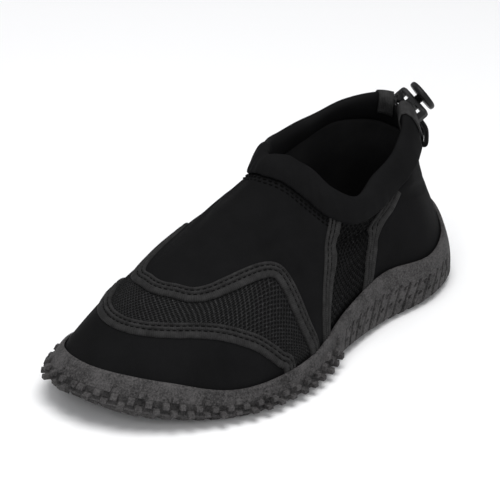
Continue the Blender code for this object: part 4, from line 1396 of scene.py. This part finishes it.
# %% Make the button
def make_button():
    top = LOCK_HEIGHT / 2
    foot = top - BORE_DEPTH + GAP + PRESS_TRAVEL
    face = top + GAP + PRESS_TRAVEL
    radius = BUTTON_DIAMETER / 2
    edge = BUTTON_THICKNESS / 4
    profile = smooth_curve(
        (
            (radius - 2 * edge, face),
            (radius - edge / 2, face + edge / 4),
            (radius, face + 1.2 * edge),
            (radius, face + 2.6 * edge),
            (radius - edge, face + 3.7 * edge),
            (radius * 0.68, face + 4.0 * edge),
            (radius * 0.60, face + 3.5 * edge),
            (radius * 0.35, face + 3.5 * edge),
            (AXIS_RADIUS, face + 3.6 * edge),
        ),
        False,
        5,
    )
    stem = [(AXIS_RADIUS, foot), (PLUNGER_DIAMETER / 2, foot), (PLUNGER_DIAMETER / 2, face)]
    outline = np.vstack([stem, profile])
    turn = np.linspace(0, 2 * np.pi, 72, endpoint=False)
    rings = [(r * np.cos(turn), r * np.sin(turn), np.full(len(turn), h)) for r, h in outline]
    grid = np.array(rings).transpose(0, 2, 1)
    place = np.array(lock_place)
    grid = grid @ place[:3, :3].T + place[:3, 3]
    return piece_from_grid("push_button", grid, plastic, ring=True, capped=True)


button = make_button()
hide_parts("cord_lock_button")
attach(button, "plunger")
lock_body = bpy.data.objects["cord_lock_body"]
lock_body.data.materials.clear()
lock_body.data.materials.append(plastic)
print("button:", triangles(button), "triangles")


# %% Make the cord
def cord_line():
    aside = (BARREL_WIDTH + WINDOW_WIDTH) / 2
    half = LOCK_DEPTH / 2

    def through(x, y):
        return tuple(lock_place @ Vector((x, y, -WINDOW_DROP)))

    outer_window = [through(aside, -half - MM), through(aside, half + MM)]
    inner_window = [through(-aside, half + MM), through(-aside, -half - MM)]
    route = [*CORD_LEAD_IN, *outer_window, *CORD_LOOP, *inner_window, *CORD_LEAD_OUT]
    smooth = smooth_curve(route, False, 10)
    lengths = lengths_along(smooth)
    return read_rows(np.linspace(0, lengths[-1], CORD_POINTS), lengths, smooth), lengths[-1]


def tube(line, radius, sides=16):
    along = unit(np.gradient(line, axis=0))
    side = np.cross(along[0], [0, 0, 1.0])
    turn = np.linspace(0, 2 * np.pi, sides, endpoint=False)
    rings = []
    for point, forward in zip(line, along):
        side = unit(side - forward * (side @ forward))
        other = np.cross(forward, side)
        rings.append(point + radius * (np.cos(turn)[:, None] * side + np.sin(turn)[:, None] * other))
    return np.stack(rings)


cord_path, cord_length = cord_line()
cord_grid = tube(cord_path, CORD_DIAMETER / 2)
drawcord = piece_from_grid("elastic_drawcord", cord_grid, cord_finish, ring=True, capped=True)
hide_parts("drawcord")
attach(drawcord, "shoe")
print("cord:", round(float(cord_length), 4), "long")

# %% [markdown]
# ## Floor and light
# A plain pale floor and four large soft lamps, above, in front and at each side, give the even light of a
# catalogue picture. The one above is much the strongest, because black cloth needs more light than a pale
# object does.


# %% Floor and lamps
def make_floor():
    bm = bmesh.new()
    bmesh.ops.create_grid(bm, x_segments=1, y_segments=1, size=4.0)
    mesh = bpy.data.meshes.new("floor")
    bm.to_mesh(mesh)
    bm.free()
    paper, _, _ = new_finish("paper", (0.95, 0.95, 0.95), 0.9, 0.1)
    mesh.materials.append(paper)
    return link_to_scene("floor", mesh)


def add_lamp(name, place, aim, size, watts):
    data = bpy.data.lights.new(name, "AREA")
    data.shape = "RECTANGLE"
    data.size, data.size_y = size
    data.energy = watts
    made = link_to_scene(name, data)
    made.location = place
    direction = Vector(aim) - Vector(place)
    made.rotation_euler = direction.to_track_quat("-Z", "Y").to_euler()


floor = make_floor()
add_lamp("lamp_above", (0.1, 0.1, 1.3), (0, 0, 0.03), (0.9, 0.9), 14.0)
add_lamp("lamp_front", (1.2, 0.5, 0.7), (0, 0, 0.04), (0.9, 0.9), 4.5)
add_lamp("lamp_outer_side", (-0.3, 1.3, 0.6), (0, 0, 0.04), (0.9, 0.7), 3.2)
add_lamp("lamp_inner_side", (-0.2, -1.2, 0.8), (0, 0, 0.05), (0.8, 0.7), 1.6)
world = bpy.data.worlds.new("studio")
world.use_nodes = True
sky = world.node_tree.nodes["Background"].inputs
sky["Color"].default_value = (0.95, 0.96, 1.0, 1.0)
sky["Strength"].default_value = 0.32
bpy.context.scene.world = world
bpy.context.scene.view_settings.view_transform = "Standard"
print("lamps:", len(bpy.data.lights))
